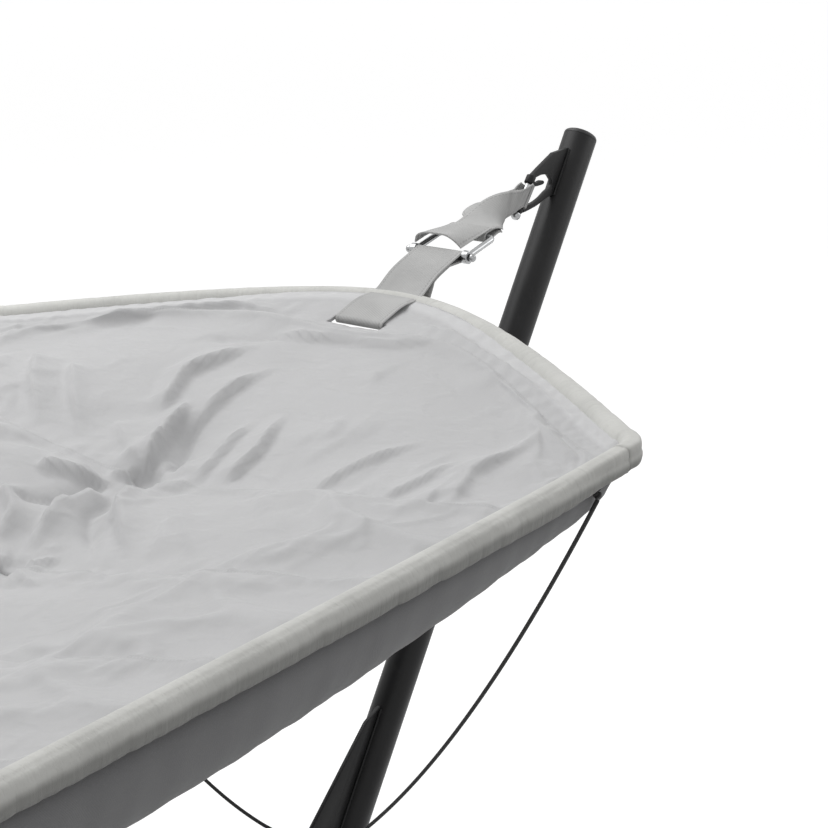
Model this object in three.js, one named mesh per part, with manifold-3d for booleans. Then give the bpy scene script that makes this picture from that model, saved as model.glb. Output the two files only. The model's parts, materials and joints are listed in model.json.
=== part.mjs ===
// Hammock with stand: a quilted bed with a stiff rim, hung by webbing and shackles from
// fork plates on two outward leaning posts, which stand on a bolted two-part base.
// Millimetres, +Z up, X along the hammock, origin on the ground at the middle.
// End a is at +X. End b is the same end turned half round.
import * as THREE from 'three';
import { mergeVertices } from 'three/addons/utils/BufferGeometryUtils.js';
import Module from 'manifold-3d';

const wasm = await Module();
wasm.setup();

// Clearances
const GAP = 0.3; // between touching pieces
const BOLT_CLEARANCE = 0.5; // round a bolt in its hole
const OVERRUN = 5; // how far a cut runs past a face

// Posts
const POST_TOP_X = 1600; // centre of the tube's upper end
const POST_TOP_Z = 1030;
const POST_LEAN = THREE.MathUtils.degToRad(33.5); // from the vertical
const POST_R = 25;
const POST_WALL = 2.5;
const CAP_DOME = 6;
const CAP_PLUG = 22;

// Base: rectangular tubes
const BAR_WIDTH = 60;
const BAR_HEIGHT = 40;
const BAR_WALL = 2;
const PAD_THICKNESS = 4; // of the end cap's sole under the foot
const PAD_LENGTH = 80;
const FOOT_HALF = 480;
const PLUG_FLANGE = 4;
const PLUG_DEPTH = 24;
const SLEEVE_HALF = 150;
const SLEEVE_WALL = 2.5;
const BEAM_SPLIT = 0.5; // from the middle to each beam's end
const SLEEVE_BOLT_X = 85;
const END_PLATE = 20;
const BOLT_R = 4;
const BOLT_SPREAD = 14; // of the two foot bolts from the middle
const HEAD_R = 7.5;
const HEAD_HEIGHT = 5.3;
const NUT_HEIGHT = 6.5;
const THREAD_PROUD = 3; // bolt past its nut

// Gusset
const PLATE = 6;
const GUSSET_TIP_RISE = 297.7; // up the post from the beam's top
const GUSSET_KNEE_RISE = 269.7;
const GUSSET_KNEE_H = 46; // out from the post's axis
const GUSSET_REACH = 147; // along the beam
const CORD_HOLE_RISE = 100.7; // over the beam
const CORD_HOLE_INSET = 61.23; // from the post's axis, on the level

// Hook plate, in distances down the post (s) and out from its axis (h)
const HOOK_TOP_S = 28;
const FORK_PIN_R = 4;
const LUG_R = 7;
const LUG_TOP_S = [105.5, 116.5];
const LUG_LOW_S = [157.5, 163];
const FORK_PIN_H = 91.85; // at the upper lug's lower face
const FORK_PIN_SLANT_SHARE = 0.1; // h gained for each s along the pin
const BALL_R = 7;
const BALL_SEAT = 1; // how far a ball end is sunk on its shank
const PIN_BLIND = 2; // of the upper lug, left above the pin's bore

// The plate's outline, in shares of its length down the post and of its reach to the pin
const FIN_SHARES = [[0, 0], [0.165, 0.46], [0.215, 0.55], [0.574, 1.04], [0.652, 1.075]];
const FINGER_UNDER_SHARES = [[0.652, 0.94], [0.66, 0.87], [0.62, 0.71], [0.553, 0.52]];
const FINGER_TIP_SHARES = [[0.531, 0.5], [0.52, 0.52], [0.523, 0.58]];
const FINGER_TOP_SHARES = [[0.545, 0.65], [0.58, 0.73], [0.604, 0.82], [0.596, 0.885], [0.572, 0.895]];
const OPENING_SHARES = [[0.5, 0.74], [0.45, 0.57], [0.424, 0.43], [0.43, 0.33], [0.446, 0.22]];
const LIMB_ROOT_SHARES = [[0.481, 0.168], [0.526, 0.198]];
const LIMB_TOP_SHARES = [[0.593, 0.31], [0.701, 0.454], [0.806, 0.655], [0.876, 0.84]];
const LIMB_END_SHARES = [[0.922, 0.895], [0.96, 0.92], [0.963, 1], [1, 1], [0.985, 0.94], [0.95, 0.84]];
const LIMB_UNDER_SHARES = [[0.884, 0.68], [0.793, 0.475], [0.707, 0.321], [0.622, 0.16], [0.57, 0]];

// Bed outline and rim
const BED_HALF_WIDTH = 516;
const BED_TIP_X = 1149; // end rim at the middle
const TIP_NOSE = 220; // how far the end rim stays blunt
const TIP_SLOPE_SHARE = 0.79;
const RIM_TOP_Z = 844;
const TIP_RISE = 42; // of the end rim's middle over the side rims
const TIP_RISE_SHARE = 1.5; // exponent of its fall to the corners
const SLEEVE_R = 12.5;
const SLEEVE_CLOTH = 2.4;
const ROD_R = 9.5;
const ROD_WALL = 1.5;
const BOW_R = 8;
const BOW_SLACK = 0.4; // between a bow's end and its corner elbow
const CORNER_R = 22; // rim's turn at each corner
const CORNER_EASE = 6; // of the cloth's outline at each corner
const CORNER_STEPS = 4;
const BOW_STEPS = 18;
const SIDE_SLEEVE_END = 30; // from the corner to the side sleeve's end

// Quilted pad
const ROW_PITCH = 213;
const ROWS_EACH_SIDE = 3;
const BELLY_SAG = 195; // of the middle line under the end rims
const BELLY_SHARE = 1.3; // exponent of that sag along the bed
const CROSS_SHARE = 1.25; // exponent of the sag across the bed
const UNDER_SAG = 212; // of the underside below the rim
const UNDER_SHARE = 0.85;
const UNDER_CROSS_SHARE = 2.5;
const PUFF = 22;
const PUFF_SHARE = 0.6;
const TUFT_DEPTH = 16;
const TUFT_R = 48;
const HEM_X = 1010; // where the padding ends, at the middle
const FILL_FADE = 150; // over which the padding thickens at the middle of an end
const CORNER_FADE = 45; // the same at the corners
const FILL_SHARE = 2; // exponent of the change between them
const FLAP_THICKNESS = 6;
const SLOT_X = [1036, 1056];
const SLOT_HALF = 41;
const SHEET_THICKNESS = 2.5;
const ACROSS_SHARES = [0, 0.1, 0.28, 0.5, 0.7, 0.88, 1];
const CHANNEL_STEPS = 3;
const HEM_STEP_SHARES = [0.22, 0.44, 0.64, 0.82, 0.94, 1];
const FLAP_STEP_SHARES = [0.5, 1];

// Webbing, shackles and pins
const WEB = 2.6; // thickness of the webbing
const LOWER_WIDTH = 76;
const RIM_EASE = 1; // room for the rim's bend across the lower strap
const PINCH_REACH = 32; // from the rim and the pin to where the layers meet
const LOOP_SAMPLES = 20;
const TWIST_STEPS = 20; // along each layer of the upper strap
const TWIST_LANES = 2;
const TWIST_START_SHARE = 0.1; // of its run, where its quarter turn starts
const TWIST_END_SHARE = 0.85;
const LOOP_END_SHARE = 0.3; // where its layers have closed behind the bow
const FORK_START_SHARE = 0.6; // where they part again for the fork pin
const TAPER_END_SHARE = 0.88;
const HOOK_BEND_SHARE = 0.55; // exponent of its bend round the fork pin
const UPPER_WIDTH = 66;
const HOOK_WIDTH = 40; // of the upper strap at the fork pin
const CROWN_LOOP_R = 6.4; // of the upper strap's loop round the bow
const PIN_X = 1237; // shackle pin
const PIN_Z = 921;
const PIN_R = 4.5;
const WIRE_R = 4.25;
const CROWN_REACH = 68; // from the pin to the bow's crown
const SHACKLE_HALF = 42.5; // from the middle to a leg
const SHACKLE_CORNER = 11;
const SHACKLE_BALL_R = 5.5;
const EYE_R = 9;
const EYE_HALF = 4;
const EYE_SLACK = 0.4; // round the pin in the bow's eyes
const SEAM_HALF = 1.6; // from the strap's middle to each layer
const FORK_SLACK = 4.6; // beside the fork pin inside the strap

// Stay cords and their eyes
const CORD_R = 2.5;
const EYE_FROM_CORNER = 73.3; // along the side rim from its corner
const EYE_LOOP_R = 5.5;
const EYE_WIRE_R = 1.8;
const KNOT_R = 5;
const NEAR_SLACK_SAG = 60;
const FAR_SLACK_SAG = 140;
const CORD_STEPS = 42;

// Finishes
const finish = {
  steel: { color: 0x232426, roughness: 0.45, metalness: 0.6 },
  zinc: { color: 0xb4b7ba, roughness: 0.35, metalness: 1 },
  chrome: { color: 0xc9ccd0, roughness: 0.18, metalness: 1 },
  plastic: { color: 0x1c1c1e, roughness: 0.6, metalness: 0 },
  rubber: { color: 0x202020, roughness: 0.9, metalness: 0 },
  alloy: { color: 0xa9adb0, roughness: 0.4, metalness: 1 },
  glass: { color: 0xd8d4c4, roughness: 0.5, metalness: 0 },
  cloth: { color: 0xc6c6c8, roughness: 0.85, metalness: 0 },
  under: { color: 0x6f6f72, roughness: 0.9, metalness: 0 },
  binding: { color: 0xb9bab4, roughness: 0.85, metalness: 0 },
  webbing: { color: 0xb5b5b6, roughness: 0.8, metalness: 0 },
  cord: { color: 0x151515, roughness: 0.8, metalness: 0 },
};

// Heights and places that follow from these sizes
const FOOT_LOW = PAD_THICKNESS + GAP;
const FOOT_TOP = FOOT_LOW + BAR_HEIGHT;
const BAR_MID_Z = FOOT_LOW + BAR_HEIGHT / 2;
const FOOT_X = POST_TOP_X - (POST_TOP_Z - FOOT_TOP) * Math.tan(POST_LEAN);
const BEAM_END = FOOT_X - BAR_WIDTH / 2 - GAP;
const CORD_HOLE_Z = FOOT_TOP + CORD_HOLE_RISE;
const AXIS_AT_HOLE = POST_TOP_X - (POST_TOP_Z - CORD_HOLE_Z) * Math.tan(POST_LEAN);
const CORD_HOLE_X = AXIS_AT_HOLE - CORD_HOLE_INSET;
const RIM_Z = RIM_TOP_Z - SLEEVE_R;
const RIM_Y = BED_HALF_WIDTH - SLEEVE_R;
const PAD_INSET_Y = 2 * SLEEVE_R + GAP;

const UP = new THREE.Vector3(0, 0, 1);
const ACROSS = new THREE.Vector3(0, 1, 0);

function flat(x, z, y = 0) {
  return new THREE.Vector3(x, y, z);
}

// A point of the middle plane: s down the post from its top, h out from its axis
function onPost(s, h) {
  const x = POST_TOP_X - s * Math.sin(POST_LEAN) - h * Math.cos(POST_LEAN);
  const z = POST_TOP_Z - s * Math.cos(POST_LEAN) + h * Math.sin(POST_LEAN);
  return flat(x, z);
}

// Solids: three.js geometry to manifold and back

function solid(geometry) {
  const bare = new THREE.BufferGeometry();
  bare.setAttribute('position', geometry.getAttribute('position').clone());
  if (geometry.index) bare.setIndex(geometry.index.clone());
  const merged = mergeVertices(bare);
  return new wasm.Manifold(
    new wasm.Mesh({
      numProp: 3,
      vertProperties: new Float32Array(merged.getAttribute('position').array),
      triVerts: new Uint32Array(merged.index.array),
    }),
  );
}

function geometryOf(body) {
  const mesh = body.getMesh();
  const geometry = new THREE.BufferGeometry();
  geometry.setAttribute('position', new THREE.BufferAttribute(mesh.vertProperties, 3));
  geometry.setIndex(new THREE.BufferAttribute(mesh.triVerts, 1));
  return geometry;
}

function cut(geometry, ...tools) {
  return geometryOf(tools.reduce((body, tool) => body.subtract(solid(tool)), solid(geometry)));
}

function join(...pieces) {
  return geometryOf(pieces.map(solid).reduce((a, b) => a.add(b)));
}

// Shapes

function box(low, high) {
  const size = high.map((v, i) => v - low[i]);
  const geometry = new THREE.BoxGeometry(...size);
  return geometry.translate(...low.map((v, i) => v + size[i] / 2));
}

function rod(from, to, radius, sides = 12) {
  const along = new THREE.Vector3().subVectors(to, from);
  const geometry = new THREE.CylinderGeometry(radius, radius, along.length(), sides);
  const turn = new THREE.Quaternion().setFromUnitVectors(ACROSS, along.clone().normalize());
  const mid = new THREE.Vector3().addVectors(from, to).multiplyScalar(0.5);
  return geometry.applyQuaternion(turn).translate(mid.x, mid.y, mid.z);
}

function ball(centre, radius, sides = 12) {
  const geometry = new THREE.SphereGeometry(radius, sides, sides / 2);
  return geometry.rotateX(Math.PI / 2).translate(centre.x, centre.y, centre.z);
}

function ringShape(outer, inner) {
  const shape = new THREE.Shape();
  shape.absarc(0, 0, outer, 0, 2 * Math.PI);
  if (inner) {
    const bore = new THREE.Path();
    bore.absarc(0, 0, inner, 0, 2 * Math.PI);
    shape.holes.push(bore);
  }
  return shape;
}

function tube(path, outer, inner, steps, sides) {
  const options = { extrudePath: path, steps, curveSegments: sides / 2 };
  return new THREE.ExtrudeGeometry(ringShape(outer, inner), options);
}

// A line through stations, which keeps a tube's rings at the stations themselves
class StationLine extends THREE.Curve {
  constructor(stations) {
    super();
    this.stations = stations;
  }

  getPoint(t) {
    const place = t * (this.stations.length - 1);
    const i = Math.min(Math.floor(place), this.stations.length - 2);
    return this.stations[i].clone().lerp(this.stations[i + 1], place - i);
  }

  getTangent(t) {
    const i = Math.round(t * (this.stations.length - 1));
    const before = this.stations[Math.max(0, i - 1)];
    const here = this.stations[i];
    const after = this.stations[Math.min(this.stations.length - 1, i + 1)];
    const arriving = new THREE.Vector3().subVectors(here, before).normalize();
    return arriving.add(new THREE.Vector3().subVectors(after, here).normalize()).normalize();
  }

  getUtoTmapping(u) {
    return u;
  }
}

function tubeThrough(stations, outer, inner, sides) {
  return tube(new StationLine(stations), outer, inner, stations.length - 1, sides);
}

// The stations of a rounded turn from one point to another round a corner
function turnStations(from, corner, to, steps) {
  return new THREE.QuadraticBezierCurve3(from, corner, to).getPoints(steps);
}

// A plate in the middle plane from its outline's points
function plate(points, thickness) {
  const shape = new THREE.Shape(points.map((p) => new THREE.Vector2(p.x, p.z)));
  const geometry = new THREE.ExtrudeGeometry(shape, { depth: thickness, bevelEnabled: false });
  return geometry.rotateX(Math.PI / 2).translate(0, thickness / 2, 0);
}

// A rectangular tube between two corners, open along the axis 'x' or 'y'
function hollowBar(low, high, axis, wall) {
  const inner = { x: [0, 1, 1], y: [1, 0, 1] }[axis];
  const boreLow = low.map((v, i) => (inner[i] ? v + wall : v - OVERRUN));
  const boreHigh = high.map((v, i) => (inner[i] ? v - wall : v + OVERRUN));
  return cut(box(low, high), box(boreLow, boreHigh));
}

// A closed skin over rings of equally many points; each four-cornered cell is split
// along its shorter diagonal, so that surfaces over one grid fit each other
function skin(rings, closed) {
  const count = rings[0].length;
  const points = rings.flat();
  const positions = points.flatMap((p) => [p.x, p.y, p.z]);
  const index = [];
  const last = closed ? rings.length : rings.length - 1;
  for (let i = 0; i < last; i++) {
    const next = (i + 1) % rings.length;
    for (let j = 0; j < count; j++) {
      const k = (j + 1) % count;
      const [a, b, c, d] = [i * count + j, i * count + k, next * count + k, next * count + j];
      const cut = points[a].distanceTo(points[c]) - points[b].distanceTo(points[d]);
      if (cut < 0) index.push(a, b, c, a, c, d);
      else index.push(a, b, d, b, c, d);
    }
  }
  if (!closed) {
    const top = (rings.length - 1) * count;
    for (let j = 0; j < count / 2 - 1; j++) {
      const [a, b, c, d] = [j, j + 1, count - 2 - j, count - 1 - j];
      if (b !== c) index.push(a, c, b);
      index.push(a, d, c);
      if (b !== c) index.push(top + a, top + b, top + c);
      index.push(top + a, top + c, top + d);
    }
  }
  const geometry = new THREE.BufferGeometry();
  geometry.setAttribute('position', new THREE.Float32BufferAttribute(positions, 3));
  geometry.setIndex(index);
  return facingOut(geometry);
}

function facingOut(geometry) {
  const p = geometry.getAttribute('position');
  const order = geometry.index.array;
  const [a, b, c] = [new THREE.Vector3(), new THREE.Vector3(), new THREE.Vector3()];
  let volume = 0;
  for (let i = 0; i < order.length; i += 3) {
    a.fromBufferAttribute(p, order[i]);
    b.fromBufferAttribute(p, order[i + 1]);
    c.fromBufferAttribute(p, order[i + 2]);
    volume += a.dot(b.cross(c));
  }
  if (volume < 0) geometry.setIndex(Array.from(order).reverse());
  return geometry;
}

// A webbing loop: each station has a centre, a width vector and an outward vector; a twisted
// one needs more lanes across, so that its two faces keep apart
function webLoop(stations, thickness, lanes) {
  const across = Array.from({ length: lanes + 1 }, (_, i) => 0.5 - i / lanes);
  const rings = stations.map(({ centre, width, out }) => {
    const t = out.clone().setLength(thickness / 2);
    const row = (side) =>
      across.map((share) => centre.clone().addScaledVector(width, share).addScaledVector(t, side));
    return [...row(1), ...row(-1).reverse()];
  });
  return skin(rings, true);
}

function node(name, geometry, look, parent) {
  const mesh = new THREE.Mesh(geometry, new THREE.MeshStandardMaterial(finish[look]));
  mesh.name = name;
  parent.add(mesh);
  return mesh;
}

// Stand

function makePost(end, tag) {
  const lean = (geometry) => geometry.rotateY(POST_LEAN).translate(POST_TOP_X, 0, POST_TOP_Z);
  const length = (POST_TOP_Z - FOOT_TOP) / Math.cos(POST_LEAN) + 2 * POST_R;
  const straight = new THREE.LineCurve3(flat(0, -length), flat(0, 0));
  const whole = lean(tube(straight, POST_R, POST_R - POST_WALL, 1, 24));
  const below = [FOOT_X - 3 * POST_R, -2 * POST_R, FOOT_TOP - 3 * POST_R];
  const ground = box(below, [FOOT_X + 3 * POST_R, 2 * POST_R, FOOT_TOP + GAP]);
  node('post_' + tag, cut(whole, ground), 'steel', end);

  const bore = POST_R - POST_WALL - GAP;
  const dome = Array.from({ length: 4 }, (_, i) => {
    const a = (i * Math.PI) / 6;
    return new THREE.Vector2(POST_R * Math.cos(a), 2 * GAP + CAP_DOME * Math.sin(a));
  });
  dome[dome.length - 1].x = 0;
  const profile = [
    new THREE.Vector2(0, -CAP_PLUG),
    new THREE.Vector2(bore, -CAP_PLUG),
    new THREE.Vector2(bore, GAP),
    new THREE.Vector2(POST_R, GAP),
    ...dome,
  ];
  const cap = new THREE.LatheGeometry(profile, 24).rotateX(Math.PI / 2);
  node('post_cap_' + tag, lean(cap), 'plastic', end);
}

// Distance from the post's axis to the fork pin, s down the post
function forkPinH(s) {
  return FORK_PIN_H + (s - LUG_TOP_S[1]) * FORK_PIN_SLANT_SHARE;
}

function forkPinPoint(s) {
  return onPost(s, forkPinH(s));
}

function makeHook(end, tag) {
  const seat = POST_R + GAP;
  const [lugTop, lugEnd] = LUG_TOP_S;
  const [limbTop, limbEnd] = LUG_LOW_S;
  // The outline runs down the fin, round the finger, up the opening and along the lower limb
  const shares = [
    ...FIN_SHARES,
    ...FINGER_UNDER_SHARES,
    ...FINGER_TIP_SHARES,
    ...FINGER_TOP_SHARES,
    ...OPENING_SHARES,
    ...LIMB_ROOT_SHARES,
    ...LIMB_TOP_SHARES,
    ...LIMB_END_SHARES,
    ...LIMB_UNDER_SHARES,
  ];
  const down = (share) => HOOK_TOP_S + (limbEnd - HOOK_TOP_S) * share;
  const out = (share) => seat + (FORK_PIN_H - seat) * share;
  const blade = plate(shares.map(([a, b]) => onPost(down(a), out(b))), PLATE);
  const upper = rod(forkPinPoint(lugTop), forkPinPoint(lugEnd), LUG_R);
  const lower = rod(forkPinPoint(limbTop), forkPinPoint(limbEnd), LUG_R);
  const blindEnd = forkPinPoint(lugTop + PIN_BLIND);
  const bore = rod(blindEnd, forkPinPoint(limbEnd + OVERRUN), FORK_PIN_R + GAP);
  node('hook_plate_' + tag, cut(join(blade, upper, lower), bore), 'steel', end);

  const headS = limbEnd + GAP + BALL_R - BALL_SEAT;
  const shank = rod(forkPinPoint(lugTop + PIN_BLIND + GAP), forkPinPoint(headS), FORK_PIN_R);
  node('hook_pin_' + tag, join(shank, ball(forkPinPoint(headS), BALL_R)), 'chrome', end);
}

function makeGusset(end, tag) {
  const seat = POST_R + GAP;
  const low = FOOT_TOP + GAP;
  const rise = (POST_TOP_Z - low) / Math.cos(POST_LEAN);
  const heelS = rise + seat * Math.tan(POST_LEAN);
  const outline = [
    onPost(rise - GUSSET_TIP_RISE, seat),
    onPost(heelS, seat),
    flat(BEAM_END - GUSSET_REACH, low),
    onPost(rise - GUSSET_KNEE_RISE, GUSSET_KNEE_H),
  ];
  const near = flat(CORD_HOLE_X, CORD_HOLE_Z, -PLATE);
  const hole = rod(near, near.clone().setY(PLATE), CORD_R + GAP, 16);
  node('gusset_' + tag, cut(plate(outline, PLATE), hole), 'steel', end);
}

function makeFoot(end, tag, numbers) {
  const halfWidth = BAR_WIDTH / 2;
  const low = [FOOT_X - halfWidth, -FOOT_HALF, FOOT_LOW];
  const high = [FOOT_X + halfWidth, FOOT_HALF, FOOT_TOP];
  const spots = [-BOLT_SPREAD, BOLT_SPREAD];
  const outside = FOOT_X + halfWidth;
  const holes = spots.map((y) =>
    rod(
      flat(FOOT_X - halfWidth - OVERRUN, BAR_MID_Z, y),
      flat(outside + OVERRUN, BAR_MID_Z, y),
      BOLT_R + BOLT_CLEARANCE,
    ),
  );
  node('cross_foot_' + tag, cut(hollowBar(low, high, 'y', BAR_WALL), ...holes), 'steel', end);

  [-1, 1].forEach((side, i) => {
    const inset = BAR_WALL + GAP;
    const span = (from, to) => [side * from, side * to].sort((a, b) => a - b);
    const [flangeLow, flangeHigh] = span(FOOT_HALF + GAP, FOOT_HALF + PLUG_FLANGE);
    const [plugLow, plugHigh] = span(FOOT_HALF - PLUG_DEPTH, FOOT_HALF + PLUG_FLANGE / 2);
    const [soleLow, soleHigh] = span(FOOT_HALF - PAD_LENGTH, FOOT_HALF + PLUG_FLANGE);
    const flange = box([low[0], flangeLow, 0], [high[0], flangeHigh, high[2]]);
    const plugFrom = [low[0] + inset, plugLow, low[2] + inset];
    const plug = box(plugFrom, [high[0] - inset, plugHigh, high[2] - inset]);
    const sole = box([low[0], soleLow, 0], [high[0], soleHigh, PAD_THICKNESS]);
    node('foot_cap_' + numbers[i], join(flange, plug, sole), 'rubber', end);
  });

  const beamLow = [BEAM_SPLIT, -halfWidth, FOOT_LOW];
  const beamHigh = [BEAM_END, halfWidth, FOOT_TOP];
  const beam = cut(hollowBar(beamLow, beamHigh, 'x', BAR_WALL), sleeveHole(SLEEVE_BOLT_X));
  node('base_beam_' + tag, beam, 'steel', end);

  const inset = BAR_WALL + GAP;
  const plateLow = [BEAM_END - END_PLATE, -halfWidth + inset, FOOT_LOW + inset];
  const endPlate = box(plateLow, [BEAM_END, halfWidth - inset, FOOT_TOP - inset]);
  const threads = spots.map((y) =>
    rod(
      flat(BEAM_END - END_PLATE - OVERRUN, BAR_MID_Z, y),
      flat(BEAM_END + OVERRUN, BAR_MID_Z, y),
      BOLT_R + GAP,
    ),
  );
  node('beam_end_plate_' + tag, cut(endPlate, ...threads), 'zinc', end);

  spots.forEach((y, i) => {
    const face = outside + GAP;
    const shank = rod(flat(BEAM_END - END_PLATE, BAR_MID_Z, y), flat(face + GAP, BAR_MID_Z, y), BOLT_R);
    const head = rod(flat(face, BAR_MID_Z, y), flat(face + HEAD_HEIGHT, BAR_MID_Z, y), HEAD_R, 6);
    node('foot_bolt_' + numbers[i], join(shank, head), 'zinc', end);
  });
}

function sleeveHole(x) {
  const reach = BAR_WIDTH / 2 + OVERRUN;
  return rod(flat(x, BAR_MID_Z, -reach), flat(x, BAR_MID_Z, reach), BOLT_R + BOLT_CLEARANCE);
}

// The bolt and nut that hold one beam on the sleeve
function makeSleeveBolt(end, tag) {
  const at = (y) => flat(SLEEVE_BOLT_X, BAR_MID_Z, y);
  const face = BAR_WIDTH / 2 + GAP;
  const tail = face + NUT_HEIGHT + THREAD_PROUD;
  const shank = rod(at(-face - GAP), at(tail), BOLT_R);
  const head = rod(at(-face - HEAD_HEIGHT), at(-face), HEAD_R, 6);
  node('sleeve_bolt_' + tag, join(shank, head), 'zinc', end);
  const nut = rod(at(face), at(face + NUT_HEIGHT), HEAD_R, 6);
  node('sleeve_nut_' + tag, cut(nut, rod(at(0), at(tail + OVERRUN), BOLT_R + GAP)), 'zinc', end);
}

function makeBeamSleeve(parent) {
  const inset = BAR_WALL + GAP;
  const low = [-SLEEVE_HALF, -BAR_WIDTH / 2 + inset, FOOT_LOW + inset];
  const high = [SLEEVE_HALF, BAR_WIDTH / 2 - inset, FOOT_TOP - inset];
  const holes = [sleeveHole(SLEEVE_BOLT_X), sleeveHole(-SLEEVE_BOLT_X)];
  node('beam_sleeve', cut(hollowBar(low, high, 'x', SLEEVE_WALL), ...holes), 'zinc', parent);
}

// Bed outline: x of the end rim at a distance y from the middle, and y at a given x

function endX(y) {
  return BED_TIP_X - TIP_SLOPE_SHARE * (Math.hypot(y, TIP_NOSE) - TIP_NOSE);
}

function edgeTop(y) {
  return RIM_TOP_Z + TIP_RISE * (1 - Math.min(1, Math.abs(y) / BED_HALF_WIDTH) ** TIP_RISE_SHARE);
}

// The end rim's line moved inwards by an offset, at the parameter y
function endPoint(y, offset) {
  const slope = (TIP_SLOPE_SHARE * y) / Math.hypot(y, TIP_NOSE);
  const size = Math.hypot(1, slope);
  return { x: endX(y) - offset / size, y: y - (offset * slope) / size };
}

// The parameter y at which that line, moved inwards, is a distance 'reach' from the middle
function endParameter(reach, offset) {
  let [low, high] = [0, 2 * BED_HALF_WIDTH];
  for (let i = 0; i < 40; i++) {
    const mid = (low + high) / 2;
    if (endPoint(mid, offset).y < reach) low = mid;
    else high = mid;
  }
  return low;
}

// Half the width of the bed at x, inside an edge of the given offset, with eased corners
function halfWidthAt(x, offset) {
  const widest = BED_HALF_WIDTH - offset;
  let [low, high] = [0, 2 * BED_HALF_WIDTH];
  for (let i = 0; i < 40; i++) {
    const mid = (low + high) / 2;
    if (endPoint(mid, offset).x > Math.abs(x)) low = mid;
    else high = mid;
  }
  const curve = endPoint(low, offset).y;
  return (widest + curve) / 2 - Math.hypot((widest - curve) / 2, CORNER_EASE);
}

// The middle line of the rim at an end, with its turns into the side rims
function rimLine() {
  const corner = endParameter(RIM_Y, SLEEVE_R);
  const at = (y) => {
    const p = endPoint(y, SLEEVE_R);
    return new THREE.Vector3(p.x, p.y, edgeTop(y) - SLEEVE_R);
  };
  const turnX = at(corner).x;
  const sweep = (reach, steps) =>
    Array.from({ length: steps + 1 }, (_, i) => at(reach * ((2 * i) / steps - 1)));
  const turn = (side) => {
    const bend = new THREE.Vector3(turnX - CORNER_R, side * RIM_Y, RIM_Z);
    const knee = bend.clone().setX(turnX);
    return turnStations(bend, knee, at(side * (corner - CORNER_R)), CORNER_STEPS);
  };
  return { turnX, corner, at, sweep, turn };
}

function makeRimEnd(end, tag, elbows) {
  const { turnX, corner, at, sweep, turn } = rimLine();
  const sideEnd = (side) => new THREE.Vector3(turnX - SIDE_SLEEVE_END, side * RIM_Y, RIM_Z);
  const line = [
    sideEnd(-1),
    ...turn(-1),
    ...sweep(corner - CORNER_R, BOW_STEPS).slice(1, -1),
    ...turn(1).reverse(),
    sideEnd(1),
  ];
  const sleeve = tubeThrough(line, SLEEVE_R, SLEEVE_R - SLEEVE_CLOTH, 10);
  node('end_sleeve_' + tag, sleeve, 'binding', end);

  const stop = corner - 2 * CORNER_R;
  node('end_bow_' + tag, tubeThrough(sweep(stop, BOW_STEPS), BOW_R, 0, 8), 'glass', end);

  for (const side of [-1, 1]) {
    const rodEnd = new THREE.Vector3(turnX - 2 * CORNER_R, side * RIM_Y, RIM_Z);
    const route = [rodEnd.clone().setX(rodEnd.x + GAP), ...turn(side), at(side * (stop + BOW_SLACK))];
    const spigotEnd = rodEnd.clone().setX(rodEnd.x - CORNER_R);
    const spigot = rod(spigotEnd, rodEnd.clone().setX(rodEnd.x + 2 * GAP), ROD_R - ROD_WALL - GAP);
    node(elbows[side < 0 ? 0 : 1], join(tubeThrough(route, BOW_R, 0, 8), spigot), 'plastic', end);
  }
}

function makeRimSides(parent) {
  const { turnX } = rimLine();
  for (const [name, side] of [['right', -1], ['left', 1]]) {
    const line = (reach) => {
      const from = new THREE.Vector3(-reach, side * RIM_Y, RIM_Z);
      return new THREE.LineCurve3(from, from.clone().setX(reach));
    };
    const reach = turnX - SIDE_SLEEVE_END - GAP;
    const sleeve = tube(line(reach), SLEEVE_R, SLEEVE_R - SLEEVE_CLOTH, 1, 16);
    node('side_sleeve_' + name, sleeve, 'binding', parent);
    const core = tube(line(turnX - 2 * CORNER_R), ROD_R, ROD_R - ROD_WALL, 1, 14);
    node('side_rod_' + name, core, 'alloy', parent);
  }
}

// Pad surfaces

function middleZ(x) {
  const share = Math.max(0, 1 - (x / BED_TIP_X) ** 2);
  const tip = RIM_TOP_Z + TIP_RISE - SLEEVE_CLOTH;
  return tip - BELLY_SAG * share ** BELLY_SHARE;
}

function edgeZ(x) {
  const half = halfWidthAt(x, 0);
  return edgeTop(half) - SLEEVE_R / 2;
}

function smooth(t) {
  const c = Math.min(1, Math.max(0, t));
  return c * c * (3 - 2 * c);
}

// How far the padding reaches at a distance y from the middle line
function hemAt(y) {
  return HEM_X - (BED_TIP_X - endX(y));
}

function sagTop(x, y) {
  const share = Math.min(1, Math.abs(y) / halfWidthAt(x, 0));
  const edge = Math.max(edgeZ(x), middleZ(x));
  return edge - (edge - middleZ(x)) * (1 - share ** CROSS_SHARE);
}

function padTop(x, y) {
  const reach = Math.abs(x);
  const side = Math.abs(y) / halfWidthAt(x, PAD_INSET_Y);
  const quilted = ROWS_EACH_SIDE * ROW_PITCH;
  const hem = hemAt(y);
  let phase = reach / ROW_PITCH;
  if (reach > quilted) phase = ROWS_EACH_SIDE + Math.min(1, (reach - quilted) / (hem - quilted));
  const wave = Math.abs(Math.sin(Math.PI * phase)) ** PUFF_SHARE;
  const puff = PUFF * wave * (1 - Math.min(1, side) ** 4);
  const row = Math.min(ROWS_EACH_SIDE, Math.round(reach / ROW_PITCH)) * ROW_PITCH;
  const tuft = TUFT_DEPTH * Math.exp(-(((reach - row) ** 2 + y * y) / TUFT_R ** 2));
  return sagTop(x, y) + puff - tuft;
}

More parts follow.
